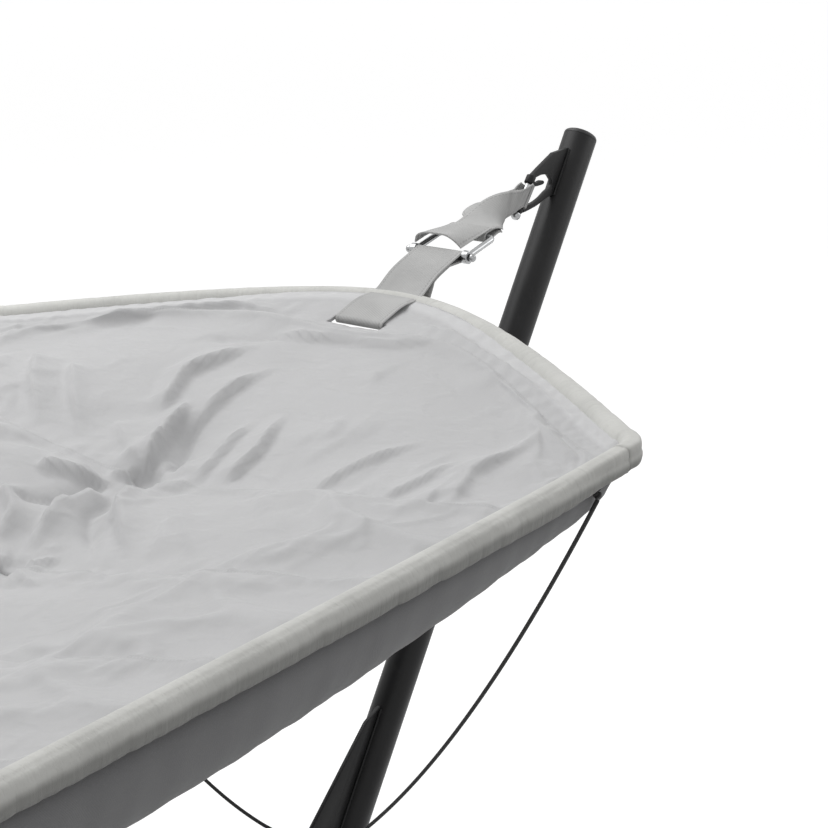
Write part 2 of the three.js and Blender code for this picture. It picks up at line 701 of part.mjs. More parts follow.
function padUnder(x, y) {
  const share = Math.min(1, Math.abs(y) / halfWidthAt(x, PAD_INSET_Y));
  const drop = UNDER_SAG * Math.max(0, 1 - (x / BED_TIP_X) ** 2) ** UNDER_SHARE;
  const edge = edgeTop(halfWidthAt(x, 0)) - 2 * SLEEVE_R;
  const belly = edge - drop * (1 - share ** UNDER_CROSS_SHARE) ** (1 / UNDER_CROSS_SHARE);
  const flap = sagTop(x, y) - FLAP_THICKNESS;
  const middle = 1 - Math.min(1, Math.abs(y) / BED_HALF_WIDTH) ** FILL_SHARE;
  const reach = endX(y) - (BED_TIP_X - HEM_X) * middle;
  const fade = CORNER_FADE + (FILL_FADE - CORNER_FADE) * middle;
  const fill = smooth((reach - Math.abs(x)) / fade);
  return Math.min(flap, flap + (belly - flap) * fill);
}

// A closed solid between two surfaces over the bed's outline
function quilt(stations, shares, topAt, lowAt, offset) {
  const rings = stations.map((x) => {
    const half = halfWidthAt(x, offset);
    const ys = [...shares.slice(1).map((s) => -s).reverse(), ...shares].map((s) => s * half);
    const top = ys.map((y) => new THREE.Vector3(x, y, topAt(x, y)));
    const low = ys.map((y) => new THREE.Vector3(x, y, lowAt(x, y))).reverse();
    return [...top, ...low];
  });
  return skin(rings, false);
}

// Stations along the bed up to the hem, or on to the flap's end
function bedStations(flapEnd) {
  const quilted = ROWS_EACH_SIDE * ROW_PITCH;
  const half = [];
  for (let i = 1; i <= ROWS_EACH_SIDE * CHANNEL_STEPS; i++) half.push((i * ROW_PITCH) / CHANNEL_STEPS);
  for (const share of HEM_STEP_SHARES) half.push(quilted + (HEM_X - quilted) * share);
  if (flapEnd) for (const share of FLAP_STEP_SHARES) half.push(HEM_X + (flapEnd - HEM_X) * share);
  return [...half.map((x) => -x).reverse(), 0, ...half];
}

function makePad(parent) {
  const reach = endX(0) - PAD_INSET_Y - SLEEVE_R / 2;
  const pad = quilt(bedStations(reach), ACROSS_SHARES, padTop, padUnder, PAD_INSET_Y);
  const slots = [-1, 1].map((side) => {
    const [a, b] = SLOT_X.map((x) => side * x).sort((p, q) => p - q);
    const mid = middleZ(SLOT_X[0]);
    return box([a, -SLOT_HALF, mid - BELLY_SAG], [b, SLOT_HALF, mid + BELLY_SAG]);
  });
  node('bed_pad', cut(pad, ...slots), 'cloth', parent);

  const top = (x, y) => padUnder(x, y) - 2 * GAP;
  const low = (x, y) => top(x, y) - SHEET_THICKNESS;
  const sheet = quilt(bedStations(0), ACROSS_SHARES, top, low, PAD_INSET_Y);
  node('underside_sheet', sheet, 'under', parent);
}

// Straps

// The outer loop round a set of circles in the middle plane, each { x, z, r }
function wrap(circles, samples) {
  const points = circles.flatMap(({ x, z, r }) =>
    Array.from({ length: samples }, (_, i) => {
      const a = (2 * Math.PI * i) / samples;
      return { x: x + r * Math.cos(a), z: z + r * Math.sin(a), cx: x, cz: z };
    }),
  );
  points.sort((p, q) => p.x - q.x || p.z - q.z);
  const turn = (o, a, b) => (a.x - o.x) * (b.z - o.z) - (a.z - o.z) * (b.x - o.x);
  const chain = (list) => {
    const hull = [];
    for (const p of list) {
      while (hull.length > 1 && turn(hull.at(-2), hull.at(-1), p) <= 0) hull.pop();
      hull.push(p);
    }
    return hull.slice(0, -1);
  };
  return [...chain(points), ...chain([...points].reverse())];
}

// The lower strap's loop: down round the slot's edge, under the rim, up against its own
// upper layer, round the shackle pin and straight back
function lowerLoop(fold, tip, pin) {
  const whole = wrap([fold, tip, pin], LOOP_SAMPLES);
  const left = whole.findLast((p) => p.cx === pin.x);
  const right = whole[whole.indexOf(left) + 1];
  const slope = (left.z - right.z) / (left.x - right.x);
  const down = flat(slope, -1).normalize();
  const against = (x) => {
    const z = right.z + slope * (x - right.x) - (WEB + GAP) * Math.hypot(1, slope);
    return { x, z, r: 0 };
  };
  const start = against(tip.x + PINCH_REACH);
  const stop = against(pin.x - PINCH_REACH);
  const under = wrap([fold, tip, start], LOOP_SAMPLES);
  const isPinch = (p) => p.cx === start.x || p.cx === stop.x;
  const lower = under.slice(0, under.findIndex(isPinch) + 1);
  const round = wrap([stop, pin], LOOP_SAMPLES).filter((p) => isPinch(p) || p.z <= pin.z);
  const upper = whole.slice(whole.findIndex((p) => p.cx === pin.x && p.z > pin.z));
  return [...lower, ...round, ...upper].map((p) => ({
    centre: flat(p.x, p.z),
    width: new THREE.Vector3(0, LOWER_WIDTH, 0),
    out: isPinch(p) ? down.clone() : flat(p.x - p.cx, p.z - p.cz),
  }));
}

function makeLowerStrap(end, tag) {
  const half = WEB / 2 + GAP;
  const tip = { x: BED_TIP_X - SLEEVE_R, z: edgeTop(0) - SLEEVE_R, r: SLEEVE_R + half + RIM_EASE };
  const pin = { x: PIN_X, z: PIN_Z, r: PIN_R + half };
  const foldR = FLAP_THICKNESS / 2 + half;
  const fold = { x: SLOT_X[1] - GAP, z: middleZ(SLOT_X[1]) - FLAP_THICKNESS / 2, r: foldR + GAP };
  node('lower_strap_' + tag, webLoop(lowerLoop(fold, tip, pin), WEB, 1), 'webbing', end);
}

const FORK_MID_S = (LUG_TOP_S[1] + LUG_LOW_S[0]) / 2;

function shackleLine() {
  const pin = flat(PIN_X, PIN_Z);
  const fork = forkPinPoint(FORK_MID_S);
  const along = new THREE.Vector3().subVectors(fork, pin).normalize();
  const crown = pin.clone().addScaledVector(along, CROWN_REACH);
  return { pin, fork, along, crown };
}

function makeUpperStrap(end, tag) {
  const { fork, along, crown } = shackleLine();
  const pinAlong = new THREE.Vector3().subVectors(forkPinPoint(LUG_LOW_S[0]), fork).normalize();
  const towardsPost = new THREE.Vector3().crossVectors(pinAlong, ACROSS).normalize();
  if (towardsPost.x < 0) towardsPost.negate();
  const loopR = CROWN_LOOP_R;
  const loopMid = crown.clone().addScaledVector(along, loopR - WIRE_R - GAP - WEB / 2);
  const forkHalf = FORK_PIN_R + FORK_SLACK + WEB / 2;
  const forkEnd = fork.clone().addScaledVector(towardsPost, FORK_PIN_R + GAP + WEB / 2 - forkHalf);
  const layerGap = SEAM_HALF + WEB / 2 - GAP;
  const turned = (u) => {
    const share = (u - TWIST_START_SHARE) / (TWIST_END_SHARE - TWIST_START_SHARE);
    const a = (Math.PI / 2) * smooth(share);
    const w = ACROSS.clone().multiplyScalar(Math.cos(a)).addScaledVector(pinAlong, -Math.sin(a));
    return { w, out: new THREE.Vector3().crossVectors(along, w).normalize() };
  };
  const widthAt = (u) => UPPER_WIDTH + (HOOK_WIDTH - UPPER_WIDTH) * smooth(u / TAPER_END_SHARE);
  const stations = [];
  const arc = 6;
  for (let i = 0; i <= arc; i++) {
    const a = Math.PI / 2 + (Math.PI * i) / arc;
    const { w, out } = turned(0);
    const radial = along.clone().multiplyScalar(Math.cos(a)).addScaledVector(out, -Math.sin(a));
    const centre = loopMid.clone().addScaledVector(radial, loopR);
    stations.push({ centre, width: w.multiplyScalar(UPPER_WIDTH), out: radial });
  }
  const layer = (side) => (u) => {
    const { w, out } = turned(u);
    const closing = 1 - smooth(u / LOOP_END_SHARE);
    const opening = smooth((u - FORK_START_SHARE) / (1 - FORK_START_SHARE));
    const apart = layerGap + (loopR - layerGap) * closing + (forkHalf - layerGap) * opening;
    const centre = loopMid.clone().lerp(forkEnd, u).addScaledVector(out, side * apart);
    return { centre, width: w.multiplyScalar(widthAt(u)), out: out.multiplyScalar(side) };
  };
  const steps = Array.from({ length: TWIST_STEPS - 1 }, (_, i) => (i + 1) / TWIST_STEPS);
  stations.push(...steps.map(layer(1)));
  const bend = 6;
  for (let i = 0; i <= bend; i++) {
    const a = Math.PI / 2 - (Math.PI * i) / bend;
    const reach = Math.sign(Math.cos(a)) * Math.abs(Math.cos(a)) ** HOOK_BEND_SHARE;
    const spread = Math.sign(Math.sin(a)) * Math.abs(Math.sin(a)) ** HOOK_BEND_SHARE;
    const radial = towardsPost.clone().multiplyScalar(reach);
    radial.addScaledVector(ACROSS, spread * turned(1).out.y);
    const out = towardsPost.clone().multiplyScalar(Math.cos(a));
    out.addScaledVector(ACROSS, Math.sin(a) * turned(1).out.y);
    const centre = forkEnd.clone().addScaledVector(radial, forkHalf);
    stations.push({ centre, width: pinAlong.clone().multiplyScalar(HOOK_WIDTH), out });
  }
  stations.push(...steps.reverse().map(layer(-1)));
  node('upper_strap_' + tag, webLoop(stations, WEB, TWIST_LANES), 'webbing', end);
}

function makeShackle(end, tag) {
  const { pin, along } = shackleLine();
  const at = (reach, y) => pin.clone().addScaledVector(along, reach).setY(y);
  const far = CROWN_REACH;
  const side = SHACKLE_HALF;
  const turn = (y, inner) =>
    turnStations(at(far - SHACKLE_CORNER, y), at(far, y), at(far, inner), CORNER_STEPS);
  const bend = side - SHACKLE_CORNER;
  const line = [
    at(EYE_R / 2, -side),
    ...turn(-side, -bend),
    ...turn(side, bend).reverse(),
    at(EYE_R / 2, side),
  ];
  const wire = tubeThrough(line, WIRE_R, 0, 10);
  const eyes = [-side, side].map((y) => rod(at(0, y - EYE_HALF), at(0, y + EYE_HALF), EYE_R));
  const reach = side + EYE_HALF + OVERRUN;
  const bore = rod(at(0, -reach), at(0, reach), PIN_R + EYE_SLACK);
  node('shackle_bow_' + tag, cut(join(wire, ...eyes), bore), 'chrome', end);

  const head = side + EYE_HALF + GAP + SHACKLE_BALL_R - BALL_SEAT;
  const shank = rod(at(0, -head), at(0, head), PIN_R);
  const heads = [ball(at(0, -head), SHACKLE_BALL_R), ball(at(0, head), SHACKLE_BALL_R)];
  node('shackle_pin_' + tag, join(shank, ...heads), 'chrome', end);
}

// Cord eyes, knots and stay cords

const EYE_X = rimLine().turnX - EYE_FROM_CORNER;
const EYE_Z = RIM_Z - SLEEVE_R - GAP - EYE_LOOP_R - EYE_WIRE_R;
const KNOT_Z = EYE_Z - EYE_LOOP_R - KNOT_R;

function makeCordEye(end, name, side) {
  const loop = new THREE.TorusGeometry(EYE_LOOP_R, EYE_WIRE_R, 6, 12).rotateX(Math.PI / 2);
  const eye = loop.translate(EYE_X, side * RIM_Y, EYE_Z);
  node(name, join(eye, ball(flat(EYE_X, KNOT_Z, side * RIM_Y), KNOT_R, 10)), 'cord', end);
}

// Route of a stay cord from the hole in the gusset up to its knot
function cordRoute(side, sag) {
  const from = new THREE.Vector3(CORD_HOLE_X, side * GAP, CORD_HOLE_Z);
  const leave = from.clone().setY(side * (PLATE + 4 * CORD_R));
  const to = new THREE.Vector3(EYE_X, side * RIM_Y, KNOT_Z - KNOT_R - CORD_R / 2);
  const points = [from];
  const count = 12;
  for (let i = 0; i <= count; i++) {
    const t = i / count;
    const p = leave.clone().lerp(to, t);
    points.push(p.setZ(p.z - 4 * sag * t * (1 - t)));
  }
  return points;
}

function makeCords(end, tag) {
  for (const [name, side, sag] of [['near', -1, NEAR_SLACK_SAG], ['far', 1, FAR_SLACK_SAG]]) {
    const curve = new THREE.CatmullRomCurve3(cordRoute(side, sag));
    node('stay_cord_' + tag + '_' + name, tube(curve, CORD_R, 0, CORD_STEPS, 8), 'cord', end);
  }
}

// Assembly

const hammock = new THREE.Group();
makeBeamSleeve(hammock);
makeRimSides(hammock);
makePad(hammock);

for (const [tag, turn, numbers] of [['a', 0, [1, 2]], ['b', Math.PI, [3, 4]]]) {
  const end = new THREE.Group();
  end.rotation.z = turn;
  hammock.add(end);
  makePost(end, tag);
  makeHook(end, tag);
  makeGusset(end, tag);
  makeFoot(end, tag, numbers);
  makeSleeveBolt(end, tag);
  makeRimEnd(end, tag, numbers.map((n) => 'corner_elbow_' + n));
  makeLowerStrap(end, tag);
  makeUpperStrap(end, tag);
  makeShackle(end, tag);
  makeCordEye(end, 'cord_eye_' + numbers[0], -1);
  makeCordEye(end, 'cord_eye_' + numbers[1], 1);
  makeCords(end, tag);
}

export default hammock;
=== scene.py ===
"""Hammock with stand: the finished look of every piece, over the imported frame.

Metres, +Z up, +X along the bed towards end a. End b is end a turned half round.
"""
import json
import math
from contextlib import contextmanager

import bmesh
import bpy
import numpy as np
from mathutils import Matrix, Vector


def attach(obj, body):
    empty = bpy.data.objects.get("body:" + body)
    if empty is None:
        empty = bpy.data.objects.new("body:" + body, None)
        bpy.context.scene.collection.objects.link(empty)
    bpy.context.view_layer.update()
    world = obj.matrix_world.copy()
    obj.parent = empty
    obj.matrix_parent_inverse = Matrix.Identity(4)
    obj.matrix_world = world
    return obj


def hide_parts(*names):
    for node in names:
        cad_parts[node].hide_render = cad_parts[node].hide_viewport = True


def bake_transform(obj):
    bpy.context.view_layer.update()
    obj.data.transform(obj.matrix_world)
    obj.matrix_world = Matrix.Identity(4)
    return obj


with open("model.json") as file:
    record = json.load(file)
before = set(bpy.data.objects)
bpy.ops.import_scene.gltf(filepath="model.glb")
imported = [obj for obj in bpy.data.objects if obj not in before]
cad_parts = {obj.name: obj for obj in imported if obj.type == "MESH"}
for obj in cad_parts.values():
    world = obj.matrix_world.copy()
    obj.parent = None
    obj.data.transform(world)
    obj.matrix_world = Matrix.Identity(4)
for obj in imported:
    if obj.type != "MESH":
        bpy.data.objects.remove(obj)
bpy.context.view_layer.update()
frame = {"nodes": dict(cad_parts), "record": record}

bl_info = {
    "name": "Hammock with Stand",
    "version": (1, 0, 0),
    "blender": (4, 5, 0),
    "location": "View3D > Sidebar > Hammock",
    "description": "Dresses the hammock's frame with cloth, webbing, cords and metal",
    "category": "Object",
}

HALF_TURN = Matrix.Rotation(math.pi, 4, "Z")
ENDS = {"a": Matrix.Identity(4), "b": HALF_TURN}
ACROSS = (math.pi / 2.0, 0.0, 0.0)
GAP = 0.0003


def length(title, text, value):
    return bpy.props.FloatProperty(name=title, description=text, default=value, unit="LENGTH")


def colour(title, text, value):
    return bpy.props.FloatVectorProperty(
        name=title, description=text, default=value, subtype="COLOR", size=3, min=0.0, max=1.0
    )


class HammockSizes(bpy.types.PropertyGroup):
    """Real sizes of the hammock."""

    post_radius: length("Post radius", "Outside radius of a post", 0.025)
    post_wall: length("Post wall", "Wall of a post", 0.0025)
    post_top_x: length("Post top", "Distance of a post's upper end from the middle", 1.6)
    post_top_z: length("Post height", "Height of a post's upper end", 1.03)
    post_lean: bpy.props.FloatProperty(
        name="Post lean",
        description="Angle of a post from the vertical",
        default=math.radians(33.5),
        subtype="ANGLE",
    )
    bar_width: length("Bar width", "Width of the base's rectangular tubes", 0.06)
    bar_height: length("Bar height", "Height of the base's rectangular tubes", 0.04)
    bar_wall: length("Bar wall", "Wall of the base's rectangular tubes", 0.002)
    foot_half: length("Half foot", "Half the length of a cross foot", 0.48)
    plate: length("Plate", "Thickness of the hook plates and gussets", 0.006)
    bed_half: length("Half width", "Half the width of the bed", 0.516)
    bed_tip: length("Bed tip", "Distance of an end rim from the middle", 1.149)
    tip_nose: length("Blunt tip", "How far an end rim stays blunt", 0.22)
    rim_top: length("Rim height", "Height of the side rims' upper edge", 0.844)
    tip_rise: length("Tip rise", "How far an end rim's middle stands over the side rims", 0.042)
    rim_sag: length("Rim sag", "How far a side rim hangs down half way along", 0.01)
    rim_radius: length("Rim radius", "Outside radius of the rim's sleeve", 0.0125)
    corner_radius: length("Corner", "Turn of the rim at each corner", 0.022)
    belly_sag: length("Belly", "Sag of the pad's middle line", 0.195)
    under_sag: length("Underside", "Sag of the underside below the rim", 0.212)
    row_pitch: length("Row pitch", "Distance between two rows of stitching", 0.213)
    hem_x: length("Padding end", "Where the padding ends underneath on the middle line", 1.01)
    hem_inset: length("Hem", "Distance of the stitched hem from the end's edge", 0.08)
    puff: length("Puff", "Height of the padding between two rows", 0.022)
    tuft_depth: length("Tuft depth", "Depth of a tuft", 0.016)
    tuft_radius: length("Tuft radius", "Reach of a tuft", 0.048)
    flap: length("Flap", "Thickness of the slotted end flaps", 0.006)
    slot_half: length("Half slot", "Half the length of a slot", 0.041)
    web: length("Webbing", "Thickness of the webbing", 0.0026)
    lower_width: length("Lower strap", "Width of the strap round the rim", 0.076)
    upper_width: length("Upper strap", "Width of the strap at the shackle", 0.066)
    hook_width: length("Hook width", "Width of the upper strap at the hook", 0.0382)
    crown_loop: length("Loose loop", "Radius of the upper strap's loop round the bow", 0.0064)
    pin_x: length("Shackle", "Distance of a shackle's pin from the middle", 1.237)
    pin_z: length("Shackle height", "Height of a shackle's pin", 0.921)
    pin_radius: length("Shackle pin", "Radius of a shackle's pin", 0.0045)
    wire_radius: length("Shackle wire", "Radius of a shackle's bow wire", 0.00425)
    crown_reach: length("Bow length", "From a shackle's pin to its crown", 0.068)
    shackle_half: length("Half bow", "From the middle of a bow to its leg", 0.0425)
    shackle_corner: length("Bow corner", "Reach of a bow's corners", 0.011)
    eye_half: length("Half eye", "Half the thickness of a bow's eyes", 0.004)
    shackle_ball: length("Shackle ball", "Radius of a shackle pin's ball heads", 0.0055)
    fork_pin: length("Hook pin", "Radius of a hook's pin", 0.004)
    cord: length("Cord", "Diameter of a stay cord", 0.005)
    near_sag: length("Near sag", "Sag of the stay cord on the near side", 0.06)
    far_sag: length("Far sag", "Sag of the stay cord on the far side", 0.14)
    eye_x: length("Cord eye", "Distance of the cord eyes from the middle", 0.8)


class HammockColours(bpy.types.PropertyGroup):
    """Base colours of the hammock's materials."""

    top_cloth: colour("Top cloth", "Quilted upper cloth", (0.55, 0.55, 0.555))
    under_cloth: colour("Underside", "Carrying sheet under the pad", (0.22, 0.22, 0.225))
    rim_cloth: colour("Rim cloth", "Gathered sleeves round the rim", (0.66, 0.66, 0.632))
    webbing: colour("Webbing", "Straps", (0.47, 0.47, 0.465))
    steel: colour("Steel", "Powder coat of the stand", (0.013, 0.013, 0.0135))
    chrome: colour("Chrome", "Shackles and hook pins", (0.4, 0.405, 0.41))
    zinc: colour("Zinc", "Plated bolts and sleeve", (0.45, 0.46, 0.48))
    plastic: colour("Plastic", "Caps and elbows", (0.014, 0.014, 0.015))
    rubber: colour("Rubber", "Foot caps", (0.02, 0.02, 0.02))
    cord: colour("Cord", "Stay cords", (0.01, 0.01, 0.01))
    alloy: colour("Alloy", "Rods in the side rims", (0.42, 0.43, 0.44))
    glass_fibre: colour("Glass fibre", "Bows in the end rims", (0.65, 0.62, 0.52))


# Materials


class Field:
    """A value or a vector in a material, with its arithmetic written as expressions."""

    def __init__(self, look, socket):
        self.look = look
        self.socket = socket

    def maths(self, operation, *values):
        return self.look.add("ShaderNodeMath", {"operation": operation}, dict(enumerate(values)))

    def __add__(self, other):
        return self.maths("ADD", self, other)

    def __radd__(self, other):
        return self.maths("ADD", other, self)

    def __sub__(self, other):
        return self.maths("SUBTRACT", self, other)

    def __rsub__(self, other):
        return self.maths("SUBTRACT", other, self)

    def __mul__(self, other):
        return self.maths("MULTIPLY", self, other)

    def __rmul__(self, other):
        return self.maths("MULTIPLY", other, self)

    def __truediv__(self, other):
        return self.maths("DIVIDE", self, other)

    def __rtruediv__(self, other):
        return self.maths("DIVIDE", other, self)

    def sine(self):
        return self.maths("SINE", self)

    def size(self):
        return self.maths("ABSOLUTE", self)

    def fraction(self):
        return self.maths("FRACT", self)

    def under(self, limit):
        return self.maths("LESS_THAN", self, limit)

    def eased(self, low, high):
        settings = {"interpolation_type": "SMOOTHSTEP"}
        inputs = {"Value": self, "From Min": low, "From Max": high}
        return self.look.add("ShaderNodeMapRange", settings, inputs)


class Look:
    """A material under construction."""

    def __init__(self, name):
        self.material = bpy.data.materials.new(name)
        self.material.use_nodes = True
        self.tree = self.material.node_tree
        self.shader = self.tree.nodes["Principled BSDF"]

    def add(self, kind, settings=None, inputs=None, output=0):
        made = self.tree.nodes.new(kind)
        for key, value in (settings or {}).items():
            if key == "stops":
                self.set_stops(made.color_ramp, value)
            else:
                setattr(made, key, value)
        for key, value in (inputs or {}).items():
            self.join(made.inputs[key], value)
        return Field(self, made.outputs[output])

    def set_stops(self, ramp, stops):
        while len(ramp.elements) < len(stops):
            ramp.elements.new(0.5)
        for element, (place, shade) in zip(ramp.elements, stops):
            element.position = place
            element.color = shade

    def join(self, socket, value):
        if isinstance(value, Field):
            self.tree.links.new(value.socket, socket)
        else:
            socket.default_value = value

    def place(self):
        return self.add("ShaderNodeTexCoord", output="Object")

    def surface(self):
        return self.add("ShaderNodeUVMap", {"uv_map": "cloth"})

    def measure(self, name):
        return self.add("ShaderNodeAttribute", {"attribute_name": name}, output="Fac")

    def parts(self, vector):
        made = self.tree.nodes.new("ShaderNodeSeparateXYZ")
        self.join(made.inputs[0], vector)
        return [Field(self, output) for output in made.outputs]

    def stretched(self, vector, scale):
        return self.add("ShaderNodeMapping", inputs={"Vector": vector, "Scale": scale})

    def noise(self, vector, scale, detail=2.0, roughness=0.5):
        inputs = {"Vector": vector, "Scale": scale, "Detail": detail, "Roughness": roughness}
        return self.add("ShaderNodeTexNoise", inputs=inputs)

    def spots(self, vector, scale):
        return self.add("ShaderNodeTexVoronoi", inputs={"Vector": vector, "Scale": scale})

    def blend_colours(self, share, low, high):
        return self.add("ShaderNodeMix", {"data_type": "RGBA"}, {0: share, 6: low, 7: high}, 2)

    def bump(self, height, strength, distance):
        inputs = {"Height": height, "Strength": strength, "Distance": distance}
        return self.add("ShaderNodeBump", inputs=inputs)

    def finish(self, base, roughness, normal, metallic=0.0, **fixed):
        self.join(self.shader.inputs["Base Color"], base)
        self.join(self.shader.inputs["Roughness"], roughness)
        self.join(self.shader.inputs["Normal"], normal)
        self.join(self.shader.inputs["Metallic"], metallic)
        for key, value in fixed.items():
            self.shader.inputs[key.replace("_", " ")].default_value = value
        return self.material


def shade(base, factor):
    return (*[min(1.0, c * factor) for c in base], 1.0)


def powder_coat(name, base):
    """Satin black powder coat: fine orange peel, rubbed patches and a few pale specks."""
    look = Look(name)
    place = look.place()
    peel = look.noise(place, 700.0, 2.0)
    clouds = look.noise(place, 14.0, 4.0, 0.6)
    rubbed = look.noise(look.stretched(place, (9.0, 9.0, 2.5)), 6.0, 5.0, 0.7).eased(0.52, 0.78)
    specks = look.spots(place, 160.0).under(0.06) * clouds.eased(0.5, 0.7)
    tone = look.blend_colours(clouds.eased(0.3, 0.7), shade(base, 0.85), shade(base, 1.3))
    worn = look.blend_colours(rubbed * 0.5 + specks * 0.35, tone, shade(base, 2.6))
    rough = 0.42 + 0.1 * clouds + 0.1 * rubbed
    normal = look.bump(peel + 0.5 * look.noise(place, 230.0, 1.0), 0.22, 0.0004)
    return look.finish(worn, rough, normal, 0.0, Specular_IOR_Level=0.22)


def plated(name, base, rough_low, rough_high, streaks):
    """Plated or drawn metal with faint streaks, clouding and scratches."""
    look = Look(name)
    place = look.place()
    clouds = look.noise(place, 30.0, 3.0)
    lines = look.noise(look.stretched(place, streaks), 90.0, 3.0, 0.65)
    scratches = look.noise(look.stretched(place, (3.0, 40.0, 40.0)), 60.0, 2.0).eased(0.66, 0.7)
    tone = look.blend_colours(clouds.eased(0.3, 0.7), shade(base, 0.82), shade(base, 1.12))
    marked = look.blend_colours(scratches * 0.35, tone, shade(base, 0.45))
    rough = rough_low + (rough_high - rough_low) * clouds + 0.1 * scratches
    normal = look.bump(lines + 0.4 * scratches, 0.12, 0.0002)
    return look.finish(marked, rough, normal, 1.0)


def moulded(name, base, grain, roughness):
    """Moulded plastic or rubber: fine grain, dust in patches, slight gloss changes."""
    look = Look(name)
    place = look.place()
    fine = look.noise(place, grain, 3.0)
    clouds = look.noise(place, 22.0, 3.0)
    dust = look.noise(place, 55.0, 5.0, 0.7).eased(0.55, 0.8)
    tone = look.blend_colours(clouds.eased(0.3, 0.7), shade(base, 0.8), shade(base, 1.4))
    dusty = look.blend_colours(dust * 0.3, tone, shade(base, 4.0))
    rough = roughness - 0.1 + 0.16 * clouds + 0.06 * dust
    normal = look.bump(fine, 0.3, 0.0004)
    return look.finish(dusty, rough, normal)


def woven_height(along, across, pitch):
    """The height of a plain weave over two directions of a surface."""
    turn = 2.0 * math.pi / pitch
    warp = (along * turn).sine()
    weft = (across * turn).sine()
    return 0.5 + 0.5 * warp * weft


def quilt_cloth(name, base):
    """Fine polyester on the pad: plain weave, cloudy tone and stitched rows, with a painted
    highlight on the band beside each end and painted shade in the seams.
    """
    look = Look(name)
    place = look.place()
    x, y = look.parts(place)[:2]
    weave = woven_height(x, y, 0.0016)
    seam = look.measure("seam")
    along = look.measure("along")
    hem = look.measure("hem")
    clouds = look.noise(place, 5.0, 4.0, 0.6)
    slubs = look.noise(look.stretched(place, (40.0, 260.0, 40.0)), 4.0, 2.0)
    fibres = look.noise(place, 900.0, 2.0)
    rolls = look.noise(look.stretched(place, (17.0, 10.0, 12.0)), 1.0, 3.0, 0.5)
    creases = 1.0 - ((rolls * 2.0 - 1.0).size() * 4.0).eased(0.0, 1.0)
    dash = (along / 0.0042).fraction().under(0.66)
    thread = seam.under(0.0011) * dash
    # Painted shade: the cloth is darkened along each seam's groove.
    groove = 1.0 - seam.eased(0.0, 0.006)
    tone = look.blend_colours(clouds.eased(0.25, 0.75), shade(base, 0.95), shade(base, 1.04))
    flecked = look.blend_colours(slubs.eased(0.45, 0.8) * 0.3, tone, shade(base, 0.86))
    # Painted highlight: the band beside each end rim is made paler.
    pale = look.blend_colours(hem * 0.8, flecked, shade(base, 1.18))
    groove_shaded = look.blend_colours(groove * 0.25, pale, shade(base, 0.62))
    stitched = look.blend_colours(thread * 0.4, groove_shaded, shade(base, 1.15))
    rough = 0.62 + 0.1 * clouds + 0.08 * fibres
    pucker = (along * 640.0 + 5.0 * clouds).sine() * (1.0 - seam.eased(0.0, 0.012)) * 0.14
    height = 0.1 * weave + 0.12 * fibres + 1.5 * creases + 0.8 * thread + pucker
    normal = look.bump(height, 0.5, 0.0011)
    fixed = {"Sheen_Weight": 0.25, "Sheen_Roughness": 0.4}
    return look.finish(stitched, rough, normal, 0.0, **fixed)


def sheet_cloth(name, base):
    """The carrying sheet: a dense grey weave with long soft pulls towards the rim."""
    look = Look(name)
    place = look.place()
    x, y, z = look.parts(place)
    weave = woven_height(x, z + y, 0.0022)
    clouds = look.noise(place, 4.0, 4.0, 0.6)
    pulls = look.noise(look.stretched(place, (34.0, 3.0, 3.0)), 1.0, 3.0)
    fibres = look.noise(place, 700.0, 2.0)
    tone = look.blend_colours(clouds.eased(0.25, 0.75), shade(base, 0.9), shade(base, 1.1))
    flecked = look.blend_colours(fibres.eased(0.4, 0.8) * 0.3, tone, shade(base, 1.35))
    rough = 0.78 + 0.1 * fibres
    normal = look.bump(0.2 * weave + 0.2 * fibres + 1.2 * pulls, 0.5, 0.0012)
    return look.finish(flecked, rough, normal, 0.0, Sheen_Weight=0.2, Sheen_Roughness=0.5)


def gathered_cloth(name, base):
    """The rim's sleeves: cloth drawn into small pleats, with its hem stitched inside; painted
    shade darkens their lower part and the pleats' hollows.
    """
    look = Look(name)
    along, around = look.parts(look.surface())[:2]
    place = look.place()
    weave = woven_height(along, around * 0.078, 0.0016)
    clouds = look.noise(place, 12.0, 4.0, 0.6)
    pleats = look.noise(look.stretched(look.surface(), (150.0, 2.2, 1.0)), 1.0, 3.0, 0.6)
    fibres = look.noise(place, 800.0, 2.0)
    hollow = 1.0 - pleats.eased(0.28, 0.46)
    line = (around - 0.5).size().under(0.009)
    dash = (along / 0.0045).fraction().under(0.62)
    tone = look.blend_colours(clouds.eased(0.3, 0.7), shade(base, 0.92), shade(base, 1.06))
    # Painted shade: the lower part of each sleeve's section is made darker.
    lower = 1.0 - (around + 0.25).fraction().eased(0.14, 0.235)
    lower_shaded = look.blend_colours(lower * 0.85, tone, shade(base, 0.4))
    # Painted shade in the pleats' hollows, stronger on the lower part.
    shaded = look.blend_colours(hollow * (0.12 + 0.3 * lower), lower_shaded, shade(base, 0.4))
    stitched = look.blend_colours(line * dash * 0.5, shaded, shade(base, 0.5))
    rough = 0.7 + 0.12 * fibres
    height = 1.4 * pleats + 0.1 * weave + 0.14 * fibres
    normal = look.bump(height, 0.7, 0.0016)
    return look.finish(stitched, rough, normal, 0.0, Sheen_Weight=0.25, Sheen_Roughness=0.4)


